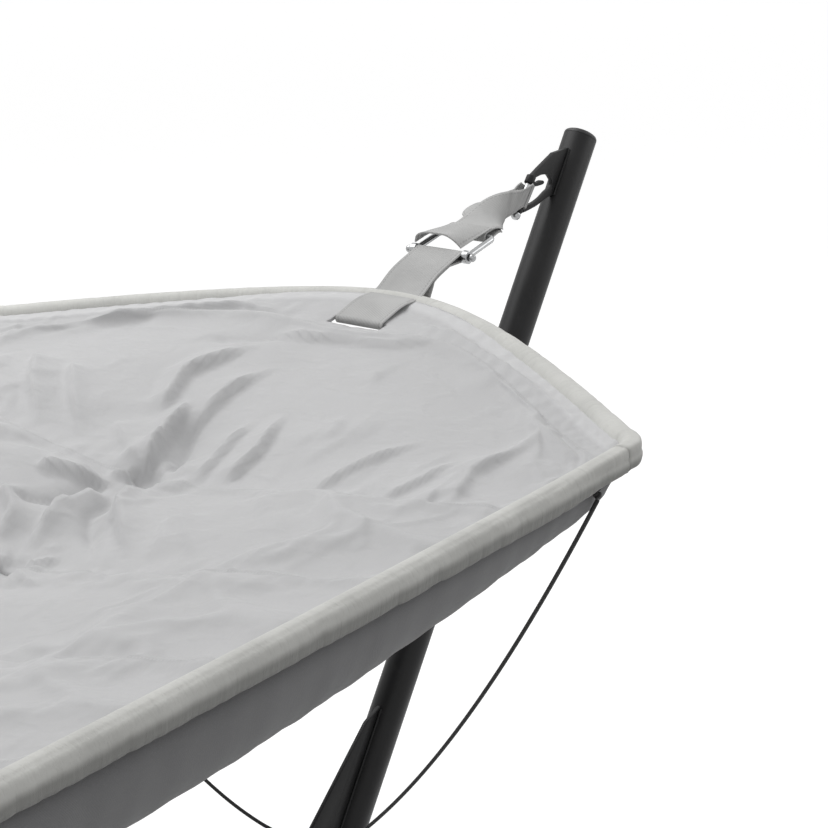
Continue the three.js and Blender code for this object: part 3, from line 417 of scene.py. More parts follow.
def webbing_cloth(name, base):
    """Flat webbing: twill ribs across, two selvedges and a stitched line beside each."""
    look = Look(name)
    along, across = look.parts(look.surface())[:2]
    place = look.place()
    twill = ((along * 1900.0 + across * 1100.0).sine() + 1.0) * 0.5
    ribs = ((across * 2600.0).sine() + 1.0) * 0.5
    clouds = look.noise(place, 16.0, 4.0, 0.6)
    fibres = look.noise(place, 900.0, 2.0)
    creases = look.noise(look.stretched(look.surface(), (30.0, 16.0, 1.0)), 1.0, 3.0)
    edge = look.measure("edge")
    selvedge = 1.0 - edge.eased(0.0012, 0.003)
    dash = (along / 0.005).fraction().under(0.6)
    stitch = (edge - 0.0052).size().under(0.0006) * dash
    tone = look.blend_colours(clouds.eased(0.3, 0.7), shade(base, 0.9), shade(base, 1.08))
    ribbed = look.blend_colours(twill * 0.22, tone, shade(base, 0.72))
    edged = look.blend_colours(selvedge * 0.3, ribbed, shade(base, 1.12))
    stitched = look.blend_colours(stitch * 0.6, edged, shade(base, 0.55))
    rough = 0.66 + 0.12 * fibres
    height = 0.4 * twill + 0.2 * ribs + 0.2 * fibres + 0.8 * creases + 0.6 * selvedge + stitch
    normal = look.bump(height, 0.5, 0.0009)
    return look.finish(stitched, rough, normal, 0.0, Sheen_Weight=0.2, Sheen_Roughness=0.4)


def braided_cord(name, base):
    """Braided black cord: two sets of strands that cross along its length."""
    look = Look(name)
    along, around = look.parts(look.surface())[:2]
    turn = 2.0 * math.pi
    left = (along * (turn / 0.007) + around * (turn * 4.0)).sine()
    right = (along * (turn / 0.007) - around * (turn * 4.0)).sine()
    braid = 0.5 + 0.5 * left * right
    fuzz = look.noise(look.place(), 1200.0, 2.0)
    # Painted shade and highlight: the braid's gaps are darker and its crests lighter; the fuzz
    # adds paler fibres.
    tone = look.blend_colours(braid * 0.6 + fuzz * 0.3, shade(base, 0.6), shade(base, 2.6))
    normal = look.bump(braid + 0.3 * fuzz, 0.7, 0.0006)
    return look.finish(tone, 0.62 + 0.2 * fuzz, normal, 0.0, Sheen_Weight=0.15)


FINISHES = {
    "black_steel": lambda c: powder_coat("powder coat", c.steel),
    "zinc_steel": lambda c: plated("zinc plate", c.zinc, 0.28, 0.46, (6.0, 6.0, 6.0)),
    "chrome": lambda c: plated("chrome", c.chrome, 0.16, 0.3, (3.0, 3.0, 3.0)),
    "black_plastic": lambda c: moulded("black plastic", c.plastic, 600.0, 0.5),
    "black_rubber": lambda c: moulded("black rubber", c.rubber, 380.0, 0.8),
    "alloy": lambda c: plated("drawn alloy", c.alloy, 0.3, 0.42, (1.0, 20.0, 20.0)),
    "glass_fibre": lambda c: moulded("glass fibre", c.glass_fibre, 300.0, 0.45),
    "top_cloth": lambda c: quilt_cloth("quilt cloth", c.top_cloth),
    "under_cloth": lambda c: sheet_cloth("sheet cloth", c.under_cloth),
    "rim_cloth": lambda c: gathered_cloth("gathered cloth", c.rim_cloth),
    "webbing": lambda c: webbing_cloth("webbing", c.webbing),
    "black_cord": lambda c: braided_cord("braided cord", c.cord),
}
made_finishes = {}


def finish_for(slot):
    if slot not in made_finishes:
        made_finishes[slot] = FINISHES[slot](bpy.context.scene.hammock_colours)
    return made_finishes[slot]


# Working with pieces


def only(piece):
    bpy.ops.object.select_all(action="DESELECT")
    piece.select_set(True)
    bpy.context.view_layer.objects.active = piece


@contextmanager
def editing(piece):
    only(piece)
    bpy.ops.object.mode_set(mode="EDIT")
    bpy.ops.mesh.select_mode(type="VERT")
    bpy.ops.mesh.select_all(action="DESELECT")
    yield
    bpy.ops.object.mode_set(mode="OBJECT")


def pick(piece, kind, test):
    """Selects the vertices, edges or faces of the piece in edit mode that pass a test."""
    shape = bmesh.from_edit_mesh(piece.data)
    for group in (shape.verts, shape.edges, shape.faces):
        for element in group:
            element.select = False
    bpy.ops.mesh.select_mode(type=kind)
    group = {"VERT": shape.verts, "EDGE": shape.edges, "FACE": shape.faces}[kind]
    for element in group:
        if test(element):
            element.select_set(True)
    shape.select_flush_mode()
    bmesh.update_edit_mesh(piece.data)


def named(name):
    piece = bpy.context.object
    piece.name = name
    piece.data.name = name
    return piece


def settle(piece):
    only(piece)
    bpy.ops.object.transform_apply(location=True, rotation=True, scale=True)
    return piece


def apply_modifier(piece, kind, **settings):
    only(piece)
    modifier = piece.modifiers.new(kind.title(), kind)
    for key, value in settings.items():
        setattr(modifier, key, value)
    bpy.ops.object.modifier_apply(modifier=modifier.name)


def round_edges(piece, width, angle):
    settings = {"segments": 2, "limit_method": "ANGLE", "angle_limit": angle}
    apply_modifier(piece, "BEVEL", width=width, **settings)


def cylinder(name, sides, radius, depth, place, turn, **settings):
    """A cylinder at its place; turn is its rotation from upright."""
    bpy.ops.object.select_all(action="DESELECT")
    bpy.ops.mesh.primitive_cylinder_add(
        vertices=sides, radius=radius, depth=depth, location=place, rotation=turn, **settings
    )
    return settle(named(name))


def write_values(piece, name, values):
    attribute = piece.data.attributes.new(name, "FLOAT", "POINT")
    attribute.data.foreach_set("value", np.asarray(values, np.float32).ravel())


def vertex_places(piece):
    places = np.empty(len(piece.data.vertices) * 3)
    piece.data.vertices.foreach_get("co", places)
    return places.reshape(-1, 3)


def smooth_by_angle(piece, degrees):
    only(piece)
    bpy.ops.object.shade_smooth_by_angle(angle=math.radians(degrees))


def face_outwards(piece):
    with editing(piece):
        bpy.ops.mesh.select_all(action="SELECT")
        bpy.ops.mesh.remove_doubles(threshold=1e-6)
        bpy.ops.mesh.normals_make_consistent(inside=False)


def join_pieces(pieces, name):
    only(pieces[0])
    for piece in pieces:
        piece.select_set(True)
    bpy.ops.object.join()
    return named(name)


def merge_solids(piece, others, operation):
    for other in others:
        apply_modifier(piece, "BOOLEAN", object=other, operation=operation, solver="EXACT")
        bpy.data.objects.remove(other)
    return piece


def turned(piece, name, matrix):
    """A copy of the piece with its own mesh, turned about the origin."""
    mesh = piece.data.copy()
    mesh.transform(matrix)
    copy = bpy.data.objects.new(name, mesh)
    bpy.context.scene.collection.objects.link(copy)
    return copy


def place_piece(piece, slot, body, nodes):
    piece.data.materials.clear()
    piece.data.materials.append(finish_for(slot))
    if nodes:
        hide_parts(*nodes)
    if body:
        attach(piece, body)
    return piece


def both_ends(piece, name, slot, body, nodes):
    """Places a piece of end a and its copy at end b, where they stand for the nodes named."""
    pair = [piece, turned(piece, name + "_b", HALF_TURN)]
    piece.name = name + "_a"
    for end, made in zip("ab", pair):
        place_piece(made, slot, body.format(end), [node.format(end) for node in nodes])
    return pair


def lattice(name, points, along, around, wrap=False, loop=False):
    """A mesh over rows of points, with the distances along and around in its UV map."""
    rows, columns = points.shape[:2]
    last_row = rows if loop else rows - 1
    last_column = columns if wrap else columns - 1
    i, j = np.meshgrid(np.arange(last_row), np.arange(last_column), indexing="ij")
    i, j = i.ravel(), j.ravel()
    down, right = (i + 1) % rows, (j + 1) % columns
    faces = np.stack(
        [i * columns + j, i * columns + right, down * columns + right, down * columns + j], axis=1
    )
    mesh = bpy.data.meshes.new(name)
    mesh.from_pydata(points.reshape(-1, 3).tolist(), [], faces.tolist())
    u = np.stack([along[i], along[i], along[i + 1], along[i + 1]], axis=1)
    v = np.stack([around[j], around[j + 1], around[j + 1], around[j]], axis=1)
    layer = mesh.uv_layers.new(name="cloth")
    layer.data.foreach_set("uv", np.stack([u.ravel(), v.ravel()], axis=1).ravel())
    mesh.polygons.foreach_set("use_smooth", np.ones(len(faces), bool))
    piece = bpy.data.objects.new(name, mesh)
    bpy.context.scene.collection.objects.link(piece)
    return piece


def plain_lattice(name, points):
    """A lattice whose UV map counts its rows and columns."""
    rows, columns = [np.arange(count + 0.0) for count in points.shape[:2]]
    return lattice(name, points, rows, columns)


def run_lengths(path):
    steps = np.linalg.norm(np.diff(path, axis=0), axis=1)
    return np.concatenate([[0.0], np.cumsum(steps)])


def unit(vectors):
    return vectors / np.linalg.norm(vectors, axis=-1, keepdims=True)


def turn_angles(count):
    return np.arange(count) * 2.0 * np.pi / count


def path_frames(path):
    """Two directions across a path that turn as little as they can along it."""
    along = unit(np.gradient(path, axis=0))
    first = np.cross(along[0], [0.0, 0.0, 1.0])
    if np.linalg.norm(first) < 1e-3:
        first = np.cross(along[0], [0.0, 1.0, 0.0])
    side = [first / np.linalg.norm(first)]
    for direction in along[1:]:
        moved = side[-1] - direction * np.dot(side[-1], direction)
        side.append(moved / np.linalg.norm(moved))
    side = np.array(side)
    return side, np.cross(along, side)


def tube_points(path, radii, sides):
    """Rings of points round a path; radii holds one row for each ring."""
    side, rise = path_frames(path)
    angle = turn_angles(sides)
    radii = np.broadcast_to(radii, (len(path), sides))
    across = radii * np.cos(angle)
    upward = radii * np.sin(angle)
    return path[:, None] + across[..., None] * side[:, None] + upward[..., None] * rise[:, None]


def close_ends(piece):
    with editing(piece):
        bpy.ops.mesh.select_non_manifold()
        bpy.ops.mesh.fill_holes(sides=0)
    face_outwards(piece)


def tube_piece(name, path, radii, sides):
    points = tube_points(path, radii, sides)
    around = np.arange(sides + 1) / sides
    piece = lattice(name, points, run_lengths(path), around, wrap=True)
    close_ends(piece)
    return piece


def eased(t):
    t = np.clip(t, 0.0, 1.0)
    return t * t * (3.0 - 2.0 * t)


def flat_point(x, z, y=0.0):
    return np.array([x, y, z], float)


# Geometry of the bed and of the stand


class BedShape:
    """Outline and surfaces of the bed, as functions of the place x, y."""

    def __init__(self, sizes):
        self.sizes = sizes
        self.rows_each_side = 3
        self.inset = 2.0 * sizes.rim_radius + GAP
        self.corner_ease = 0.006
        self.end_slope = 0.79
        self.slot_x = 1.046

    def end_x(self, y):
        nose = self.sizes.tip_nose
        return self.sizes.bed_tip - self.end_slope * (np.hypot(y, nose) - nose)

    def end_line(self, offset):
        nose = self.sizes.tip_nose
        p = np.linspace(0.0, 2.0 * self.sizes.bed_half, 4001)
        slope = self.end_slope * p / np.hypot(p, nose)
        size = np.hypot(1.0, slope)
        return self.end_x(p) - offset / size, p - offset * slope / size, p

    def end_reach(self, y, offset):
        """x of the end rim's line, moved inwards, at a distance y from the middle."""
        x, across = self.end_line(offset)[:2]
        return np.interp(np.abs(y), across, x)

    def half_width(self, x, offset):
        line_x, line_y = self.end_line(offset)[:2]
        curve = np.interp(-np.abs(x), -line_x, line_y)
        widest = self.sizes.bed_half - offset
        ease = np.hypot((widest - curve) / 2.0, self.corner_ease)
        return np.maximum((widest + curve) / 2.0 - ease, 0.001)

    def edge_top(self, y):
        share = np.minimum(1.0, np.abs(y) / self.sizes.bed_half)
        return self.sizes.rim_top + self.sizes.tip_rise * (1.0 - share**1.5)

    def rim_drop(self, x):
        """How far a side rim hangs below the line between its corners."""
        corner_x = 0.873
        return self.sizes.rim_sag * np.maximum(0.0, 1.0 - (x / corner_x) ** 2)

    def side_drop(self, x, y):
        return self.rim_drop(x) * eased((np.abs(y) / self.sizes.bed_half - 0.55) / 0.42)

    def middle_z(self, x):
        share = np.maximum(0.0, 1.0 - (x / self.sizes.bed_tip) ** 2)
        tip = self.sizes.rim_top + self.sizes.tip_rise - 0.0024
        return tip - self.sizes.belly_sag * share**1.3

    def hem(self, y):
        """x of the stitched hem of the padding, which swings in round the slot."""
        return self.end_x(y) - self.sizes.hem_inset - 0.055 * np.exp(-((y / 0.11) ** 2))

    def end_band(self, x, y):
        """One on the band beside the end rim, zero on the rest of the cloth."""
        slope = self.end_slope * y / np.hypot(y, self.sizes.tip_nose)
        inset = (self.end_x(y) - np.abs(x)) / np.hypot(1.0, slope)
        return eased((0.046 - inset) / 0.007)

    def middle_share(self, y):
        return 1.0 - np.minimum(1.0, np.abs(y) / self.sizes.bed_half) ** 2

    def filling_end(self, y):
        """x at which the padding ends underneath."""
        return self.end_x(y) - (self.sizes.bed_tip - self.sizes.hem_x) * self.middle_share(y)

    def sag_top(self, x, y):
        half = self.half_width(x, 0.0)
        share = np.minimum(1.0, np.abs(y) / half)
        edge = np.maximum(self.edge_top(half) - self.sizes.rim_radius / 2.0, self.middle_z(x))
        return edge - (edge - self.middle_z(x)) * (1.0 - share**1.25)

    def pad_top(self, x, y):
        pitch = self.sizes.row_pitch
        reach = np.abs(x)
        side = np.abs(y) / self.half_width(x, self.inset)
        quilted = self.rows_each_side * pitch
        beyond = (reach - quilted) / (self.hem(y) - quilted)
        phase = np.where(
            reach > quilted, self.rows_each_side + np.minimum(1.0, beyond), reach / pitch
        )
        wave = np.abs(np.sin(np.pi * phase)) ** 0.6
        puff = self.sizes.puff * wave * (1.0 - np.minimum(1.0, side) ** 4)
        row = np.minimum(self.rows_each_side, np.round(reach / pitch)) * pitch
        spread = ((reach - row) ** 2 + y**2) / self.sizes.tuft_radius**2
        top = self.sag_top(x, y) - self.side_drop(x, y)
        return top + puff - self.sizes.tuft_depth * np.exp(-spread)

    def pad_under(self, x, y):
        share = np.minimum(1.0, np.abs(y) / self.half_width(x, self.inset))
        drop = self.sizes.under_sag * np.maximum(0.0, 1.0 - (x / self.sizes.bed_tip) ** 2) ** 0.85
        edge = self.edge_top(self.half_width(x, 0.0)) - 2.0 * self.sizes.rim_radius
        belly = edge - drop * (1.0 - share**2.5) ** 0.4
        flap = self.sag_top(x, y) - self.sizes.flap
        fade = 0.045 + 0.105 * self.middle_share(y)
        fill = eased((self.filling_end(y) - np.abs(x)) / fade)
        return np.minimum(flap, flap + (belly - flap) * fill) - self.side_drop(x, y)

    def rim_line(self, fine):
        """The middle line of the rim at end a, from side to side, and x of its corners."""
        sizes = self.sizes
        rim_y = sizes.bed_half - sizes.rim_radius
        x, across, p = self.end_line(sizes.rim_radius)
        corner = float(np.interp(rim_y, across, p))

        def at(y):
            place_x = np.interp(np.abs(y), p, x)
            place_y = np.sign(y) * np.interp(np.abs(y), p, across)
            return np.stack([place_x, place_y, self.edge_top(y) - sizes.rim_radius], axis=-1)

        turn_x = float(np.interp(corner, p, x))
        rim_z = sizes.rim_top - sizes.rim_radius
        bow = at(np.linspace(-1.0, 1.0, fine) * (corner - sizes.corner_radius))
        t = np.linspace(0.0, 1.0, 14)[:, None]
        bend = flat_point(turn_x - sizes.corner_radius, rim_z, -rim_y)
        knee = flat_point(turn_x + 0.007, rim_z + 0.002, -rim_y - 0.005)
        turn = (1 - t) ** 2 * bend + 2 * t * (1 - t) * knee + t**2 * bow[0]
        other = turn[::-1] * np.array([1.0, -1.0, 1.0])
        start = bend - np.array([0.008, 0.0, 0.0])
        stop = start * np.array([1.0, -1.0, 1.0])
        return np.vstack([start, turn, bow[1:-1], other, stop]), turn_x


class StandShape:
    """Places on the stand's middle plane at end a."""

    def __init__(self, sizes):
        self.sizes = sizes
        self.foot_low = 0.004 + GAP
        self.foot_top = self.foot_low + sizes.bar_height
        drop = sizes.post_top_z - self.foot_top
        self.foot_x = sizes.post_top_x - drop * math.tan(sizes.post_lean)
        self.bar_mid = self.foot_low + sizes.bar_height / 2.0
        self.beam_end = self.foot_x - sizes.bar_width / 2.0 - GAP
        self.lugs = ((0.1055, 0.1165), (0.1575, 0.163))
        self.strap_down = 0.137

    def on_post(self, down, out):
        """A place so far down the post and so far out from its middle line."""
        sine, cosine = math.sin(self.sizes.post_lean), math.cos(self.sizes.post_lean)
        x = self.sizes.post_top_x - down * sine - out * cosine
        z = self.sizes.post_top_z - down * cosine + out * sine
        return flat_point(x, z)

    def fork(self, down):
        """A place on the line of the hook's pin, which leans away from the post."""
        return self.on_post(down, 0.092 + (down - 0.118) * 0.1)


# Camera, light and floor


class HAMMOCK_OT_stage(bpy.types.Operator):
    """Sets the camera, the soft lamps, the white world and the floor"""

    bl_idname = "hammock.stage"
    bl_label = "Stage"

    def execute(self, context):
        data = bpy.data.cameras.new("camera")
        data.sensor_width = 36.0
        data.lens = 86.96
        camera = bpy.data.objects.new("camera", data)
        context.scene.collection.objects.link(camera)
        ahead = Vector((0.781, 0.552, -0.292)).normalized()
        right = ahead.cross(Vector((0.0, 0.0, 1.0))).normalized()
        up = right.cross(ahead)
        turn = Matrix((right, up, -ahead)).transposed()
        camera.matrix_world = Matrix.Translation((-0.952, -1.503, 1.504)) @ turn.to_4x4()
        context.scene.camera = camera

        self.add_lamp(context, "key", (0.9, 1.7, 3.6), (0.6, 0.0, 0.7), 2.6, 74.0)
        self.add_lamp(context, "fill", (-2.2, -3.0, 2.6), (0.6, 0.0, 0.7), 2.4, 8.0)
        self.add_lamp(context, "edge", (3.6, -1.6, 2.1), (1.3, 0.0, 0.8), 1.4, 12.0)
        self.white_world(context)
        self.floor(context)
        context.scene.view_settings.view_transform = "Standard"
        return {"FINISHED"}

    def add_lamp(self, context, name, place, target, size, power):
        data = bpy.data.lights.new(name, "AREA")
        data.size = size
        data.energy = power
        lamp = bpy.data.objects.new(name, data)
        lamp.location = place
        lamp.rotation_mode = "QUATERNION"
        aim = Vector(target) - Vector(place)
        lamp.rotation_quaternion = aim.to_track_quat("-Z", "Y")
        context.scene.collection.objects.link(lamp)

    def seen_rays(self, tree):
        """One for rays from the camera, a reflection or clear glass, and zero for the rest."""
        rays = tree.nodes.new("ShaderNodeLightPath")
        seen = rays.outputs["Is Camera Ray"]
        for name in ("Is Glossy Ray", "Is Transmission Ray"):
            either = tree.nodes.new("ShaderNodeMath")
            either.operation = "MAXIMUM"
            tree.links.new(seen, either.inputs[0])
            tree.links.new(rays.outputs[name], either.inputs[1])
            seen = either.outputs[0]
        return seen

    def white_world(self, context):
        world = bpy.data.worlds.new("white world")
        context.scene.world = world
        world.use_nodes = True
        tree = world.node_tree
        level = tree.nodes.new("ShaderNodeMapRange")
        light_on_object = 0.42
        level.inputs["To Min"].default_value = light_on_object
        level.inputs["To Max"].default_value = 1.0
        tree.links.new(self.seen_rays(tree), level.inputs["Value"])
        background = tree.nodes["Background"]
        background.inputs["Color"].default_value = (1.0, 1.0, 1.0, 1.0)
        tree.links.new(level.outputs[0], background.inputs["Strength"])

    def floor(self, context):
        bpy.ops.object.select_all(action="DESELECT")
        bpy.ops.mesh.primitive_plane_add(size=40.0, location=(0.0, 0.0, 0.0))
        floor = named("floor")
        material = bpy.data.materials.new("pale floor")
        material.use_nodes = True
        tree = material.node_tree
        shader = tree.nodes["Principled BSDF"]
        shader.inputs["Base Color"].default_value = (0.42, 0.42, 0.42, 1.0)
        shader.inputs["Roughness"].default_value = 0.9
        level = tree.nodes.new("ShaderNodeMath")
        level.operation = "MULTIPLY"
        glow = 0.77
        level.inputs[1].default_value = glow
        tree.links.new(self.seen_rays(tree), level.inputs[0])
        shader.inputs["Emission Color"].default_value = (1.0, 1.0, 1.0, 1.0)
        tree.links.new(level.outputs[0], shader.inputs["Emission Strength"])
        floor.data.materials.append(material)


# Cords

EYE_LOOP = 0.0055
EYE_WIRE = 0.0018
KNOT_HALF = 0.005
KNOT_WIRE = 0.0019


def eye_height(sizes):
    """Height of the middle of a cord eye, which touches the rim from below."""
    return sizes.rim_top - 2.0 * sizes.rim_radius - GAP - EYE_LOOP - EYE_WIRE


def cord_route(sizes, side, sag):
    """The path of a stay cord at end a, from its hole in the gusset to its knot."""
    hole_x, hole_z = 0.953, 0.145
    exit_point = flat_point(hole_x, hole_z, side * GAP)
    straight = flat_point(hole_x, hole_z, side * (sizes.plate + 2.0 * sizes.cord))
    knot_low = eye_height(sizes) - EYE_LOOP - 2.0 * KNOT_HALF
    rim_y = sizes.bed_half - sizes.rim_radius
    top = flat_point(sizes.eye_x, knot_low - sizes.cord / 4.0, side * rim_y)
    t = np.linspace(0.0, 1.0, 61)[:, None]
    hang = straight + (top - straight) * t
    hang[:, 2] -= 4.0 * sag * (t * (1.0 - t))[:, 0]
    lead = exit_point + (straight - exit_point) * np.linspace(0.0, 1.0, 5)[:-1, None]
    route = np.vstack([lead, hang])
    for _ in range(6):
        route[3:12] = 0.25 * route[2:11] + 0.5 * route[3:12] + 0.25 * route[4:13]
    return route


class HAMMOCK_OT_stay_cords(bpy.types.Operator):
    """Makes the four slack stay cords"""

    bl_idname = "hammock.stay_cords"
    bl_label = "Stay cords"

    def execute(self, context):
        sizes = context.scene.hammock_sizes
        for end, turn in ENDS.items():
            for name, side, sag in (("near", -1, sizes.near_sag), ("far", 1, sizes.far_sag)):
                route = cord_route(sizes, side, sag) @ np.array(turn.to_3x3()).T
                title = "stay_cord_{}_{}".format(end, name)
                piece = tube_piece("hung_" + title, route, sizes.cord / 2.0, 12)
                place_piece(piece, "black_cord", None, [title])
                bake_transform(piece)
        return {"FINISHED"}


class HAMMOCK_OT_cord_eyes(bpy.types.Operator):
    """Makes the small loops under the rim and the knots that hang from them"""

    bl_idname = "hammock.cord_eyes"
    bl_label = "Cord eyes"

    def execute(self, context):
        sizes = context.scene.hammock_sizes
        rim_y = sizes.bed_half - sizes.rim_radius
        numbers = {("a", -1): 1, ("a", 1): 2, ("b", -1): 3, ("b", 1): 4}
        for end, turn in ENDS.items():
            for side in (-1, 1):
                centre = flat_point(sizes.eye_x, eye_height(sizes), side * rim_y)
                a = np.linspace(0.0, 2.0 * np.pi, 33)[:-1]
                ring = centre + EYE_LOOP * np.stack([np.cos(a), 0.0 * a, np.sin(a)], axis=1)
                knot = self.knot(centre - np.array([0.0, 0.0, EYE_LOOP + KNOT_HALF]))
                lines = ((ring, EYE_WIRE), (knot, KNOT_WIRE))
                loops = [self.closed_tube(line, radius, 10) for line, radius in lines]
                title = "cord_eye_{}".format(numbers[(end, side)])
                piece = join_pieces(loops, "tied_" + title)
                piece.data.transform(turn)
                place_piece(piece, "black_cord", "bed", [title])
        return {"FINISHED"}

    def knot(self, middle):
        """The line of an overhand knot, drawn tight."""
        spread, waist, rise = 0.0023, 0.0009, 0.0021
        t = np.linspace(0.0, 2.0 * np.pi, 65)[:-1]
        swing = spread + waist * np.cos(3.0 * t)
        line = [swing * np.cos(2.0 * t), swing * np.sin(2.0 * t), rise * np.sin(3.0 * t)]
        return np.stack(line, axis=1) + middle

    def closed_tube(self, path, radius, sides):
        ahead = unit(np.roll(path, -1, axis=0) - np.roll(path, 1, axis=0))
        side = unit(np.cross(ahead, path - path.mean(axis=0)))
        rise = np.cross(side, ahead)
        angle = turn_angles(sides)
        points = (
            path[:, None]
            + radius * np.cos(angle)[None, :, None] * side[:, None]
            + radius * np.sin(angle)[None, :, None] * rise[:, None]
        )
        along = run_lengths(np.vstack([path, path[:1]]))
        around = np.arange(sides + 1) / sides
        piece = lattice("loop", points, along, around, wrap=True, loop=True)
        face_outwards(piece)
        return piece


# Bed

PAD_STEPS = (26, 38, 10, 120)
CLOTH_FRAMES = 20


def pad_grid(shape, line, rows_each, beyond, flap, across):
    """Places of the pad's grid: rows that keep to the seams and to a line near each end."""
    sizes = shape.sizes
    tuck = sizes.rim_radius * 2.0 - 0.004
    t = np.linspace(-1.0, 1.0, across + 1)
    y = (0.35 * t + 0.65 * np.sin(0.5 * np.pi * t)) * (sizes.bed_half - tuck)
    quilted = shape.rows_each_side * sizes.row_pitch
    edge = line(y)
    reach = shape.end_reach(y, tuck)
    inner = np.linspace(0.0, quilted, shape.rows_each_side * rows_each + 1)
    rows = [np.full_like(y, x) for x in inner]
    rows += [quilted + (edge - quilted) * (i + 1) / beyond for i in range(beyond)]
    rows += [edge + (reach - edge) * (i + 1) / flap for i in range(flap)]
    x = np.vstack([-row for row in rows[:0:-1]] + rows)
    return x, np.broadcast_to(y, x.shape).copy()


PULLED_FOLDS = [
    ([(0.645, 0.005), (0.72, 0.035), (0.8, 0.06)], 0.017, 0.024, 0.55),
    ([(0.655, -0.03), (0.73, 0.01), (0.8, 0.04)], 0.014, -0.016, 0.0),
    ([(0.74, 0.07), (0.84, 0.11), (0.96, 0.08)], 0.02, 0.018, 0.55),
    ([(0.75, 0.1), (0.84, 0.15), (0.93, 0.14)], 0.018, -0.006, 0.0),
    ([(0.74, 0.02), (0.83, 0.03), (0.91, 0.02)], 0.016, 0.014, 0.55),
    ([(0.645, -0.11), (0.73, -0.1), (0.82, -0.07)], 0.014, 0.014, 0.55),
    ([(0.645, -0.07), (0.72, -0.055), (0.8, -0.045)], 0.011, 0.012, 0.5),
    ([(0.645, -0.23), (0.7, -0.245), (0.8, -0.29)], 0.015, 0.009, 0.5),
    ([(0.645, -0.33), (0.7, -0.35), (0.76, -0.36)], 0.015, 0.009, 0.5),
    ([(0.645, -0.42), (0.73, -0.39), (0.83, -0.41)], 0.014, 0.008, 0.5),
    ([(0.7, -0.17), (0.78, -0.19), (0.86, -0.18)], 0.02, 0.004, 0.4),
    ([(0.98, 0.1), (0.995, 0.0), (1.0, -0.08), (1.02, -0.17)], 0.016, 0.012, 0.6),
    ([(1.07, -0.06), (1.05, -0.15), (0.97, -0.31), (0.89, -0.44)], 0.018, 0.012, -0.5),
    ([(0.9, 0.36), (0.97, 0.27), (1.03, 0.18), (1.045, 0.08)], 0.016, 0.014, 0.5),
    ([(0.93, 0.16), (0.98, 0.08), (0.99, 0.02)], 0.014, -0.006, 0.0),
    ([(0.61, 0.03), (0.61, 0.1), (0.6, 0.2)], 0.02, 0.01, 0.3),
    ([(0.625, -0.01), (0.56, -0.03), (0.46, -0.14)], 0.015, 0.019, 0.55),
    ([(0.6, 0.0), (0.54, -0.01), (0.46, -0.09)], 0.012, -0.014, 0.0),
    ([(0.6, 0.02), (0.53, 0.03), (0.45, 0.01)], 0.015, 0.019, 0.55),
    ([(0.56, -0.12), (0.5, -0.15), (0.45, -0.17)], 0.018, 0.007, 0.4),
    ([(0.56, -0.12), (0.51, -0.18), (0.46, -0.24)], 0.018, 0.006, 0.4),
    ([(0.61, -0.19), (0.56, -0.26), (0.5, -0.32)], 0.028, 0.005, 0.4),
    ([(0.52, 0.1), (0.56, 0.04), (0.61, 0.02)], 0.012, -0.016, 0.0),
    ([(0.58, 0.12), (0.595, 0.05), (0.625, 0.01)], 0.012, 0.018, 0.5),
    ([(0.53, 0.12), (0.5, 0.07), (0.45, 0.05)], 0.014, 0.015, 0.5),
    ([(0.8, 0.33), (0.73, 0.27), (0.66, 0.19)], 0.017, 0.014, 0.5),
    ([(0.8, 0.27), (0.73, 0.2), (0.67, 0.13)], 0.015, 0.013, 0.5),
    ([(0.76, 0.38), (0.7, 0.33), (0.65, 0.26)], 0.016, 0.008, 0.4),
    ([(0.72, 0.12), (0.69, 0.08), (0.66, 0.03)], 0.012, 0.008, 0.4),
]


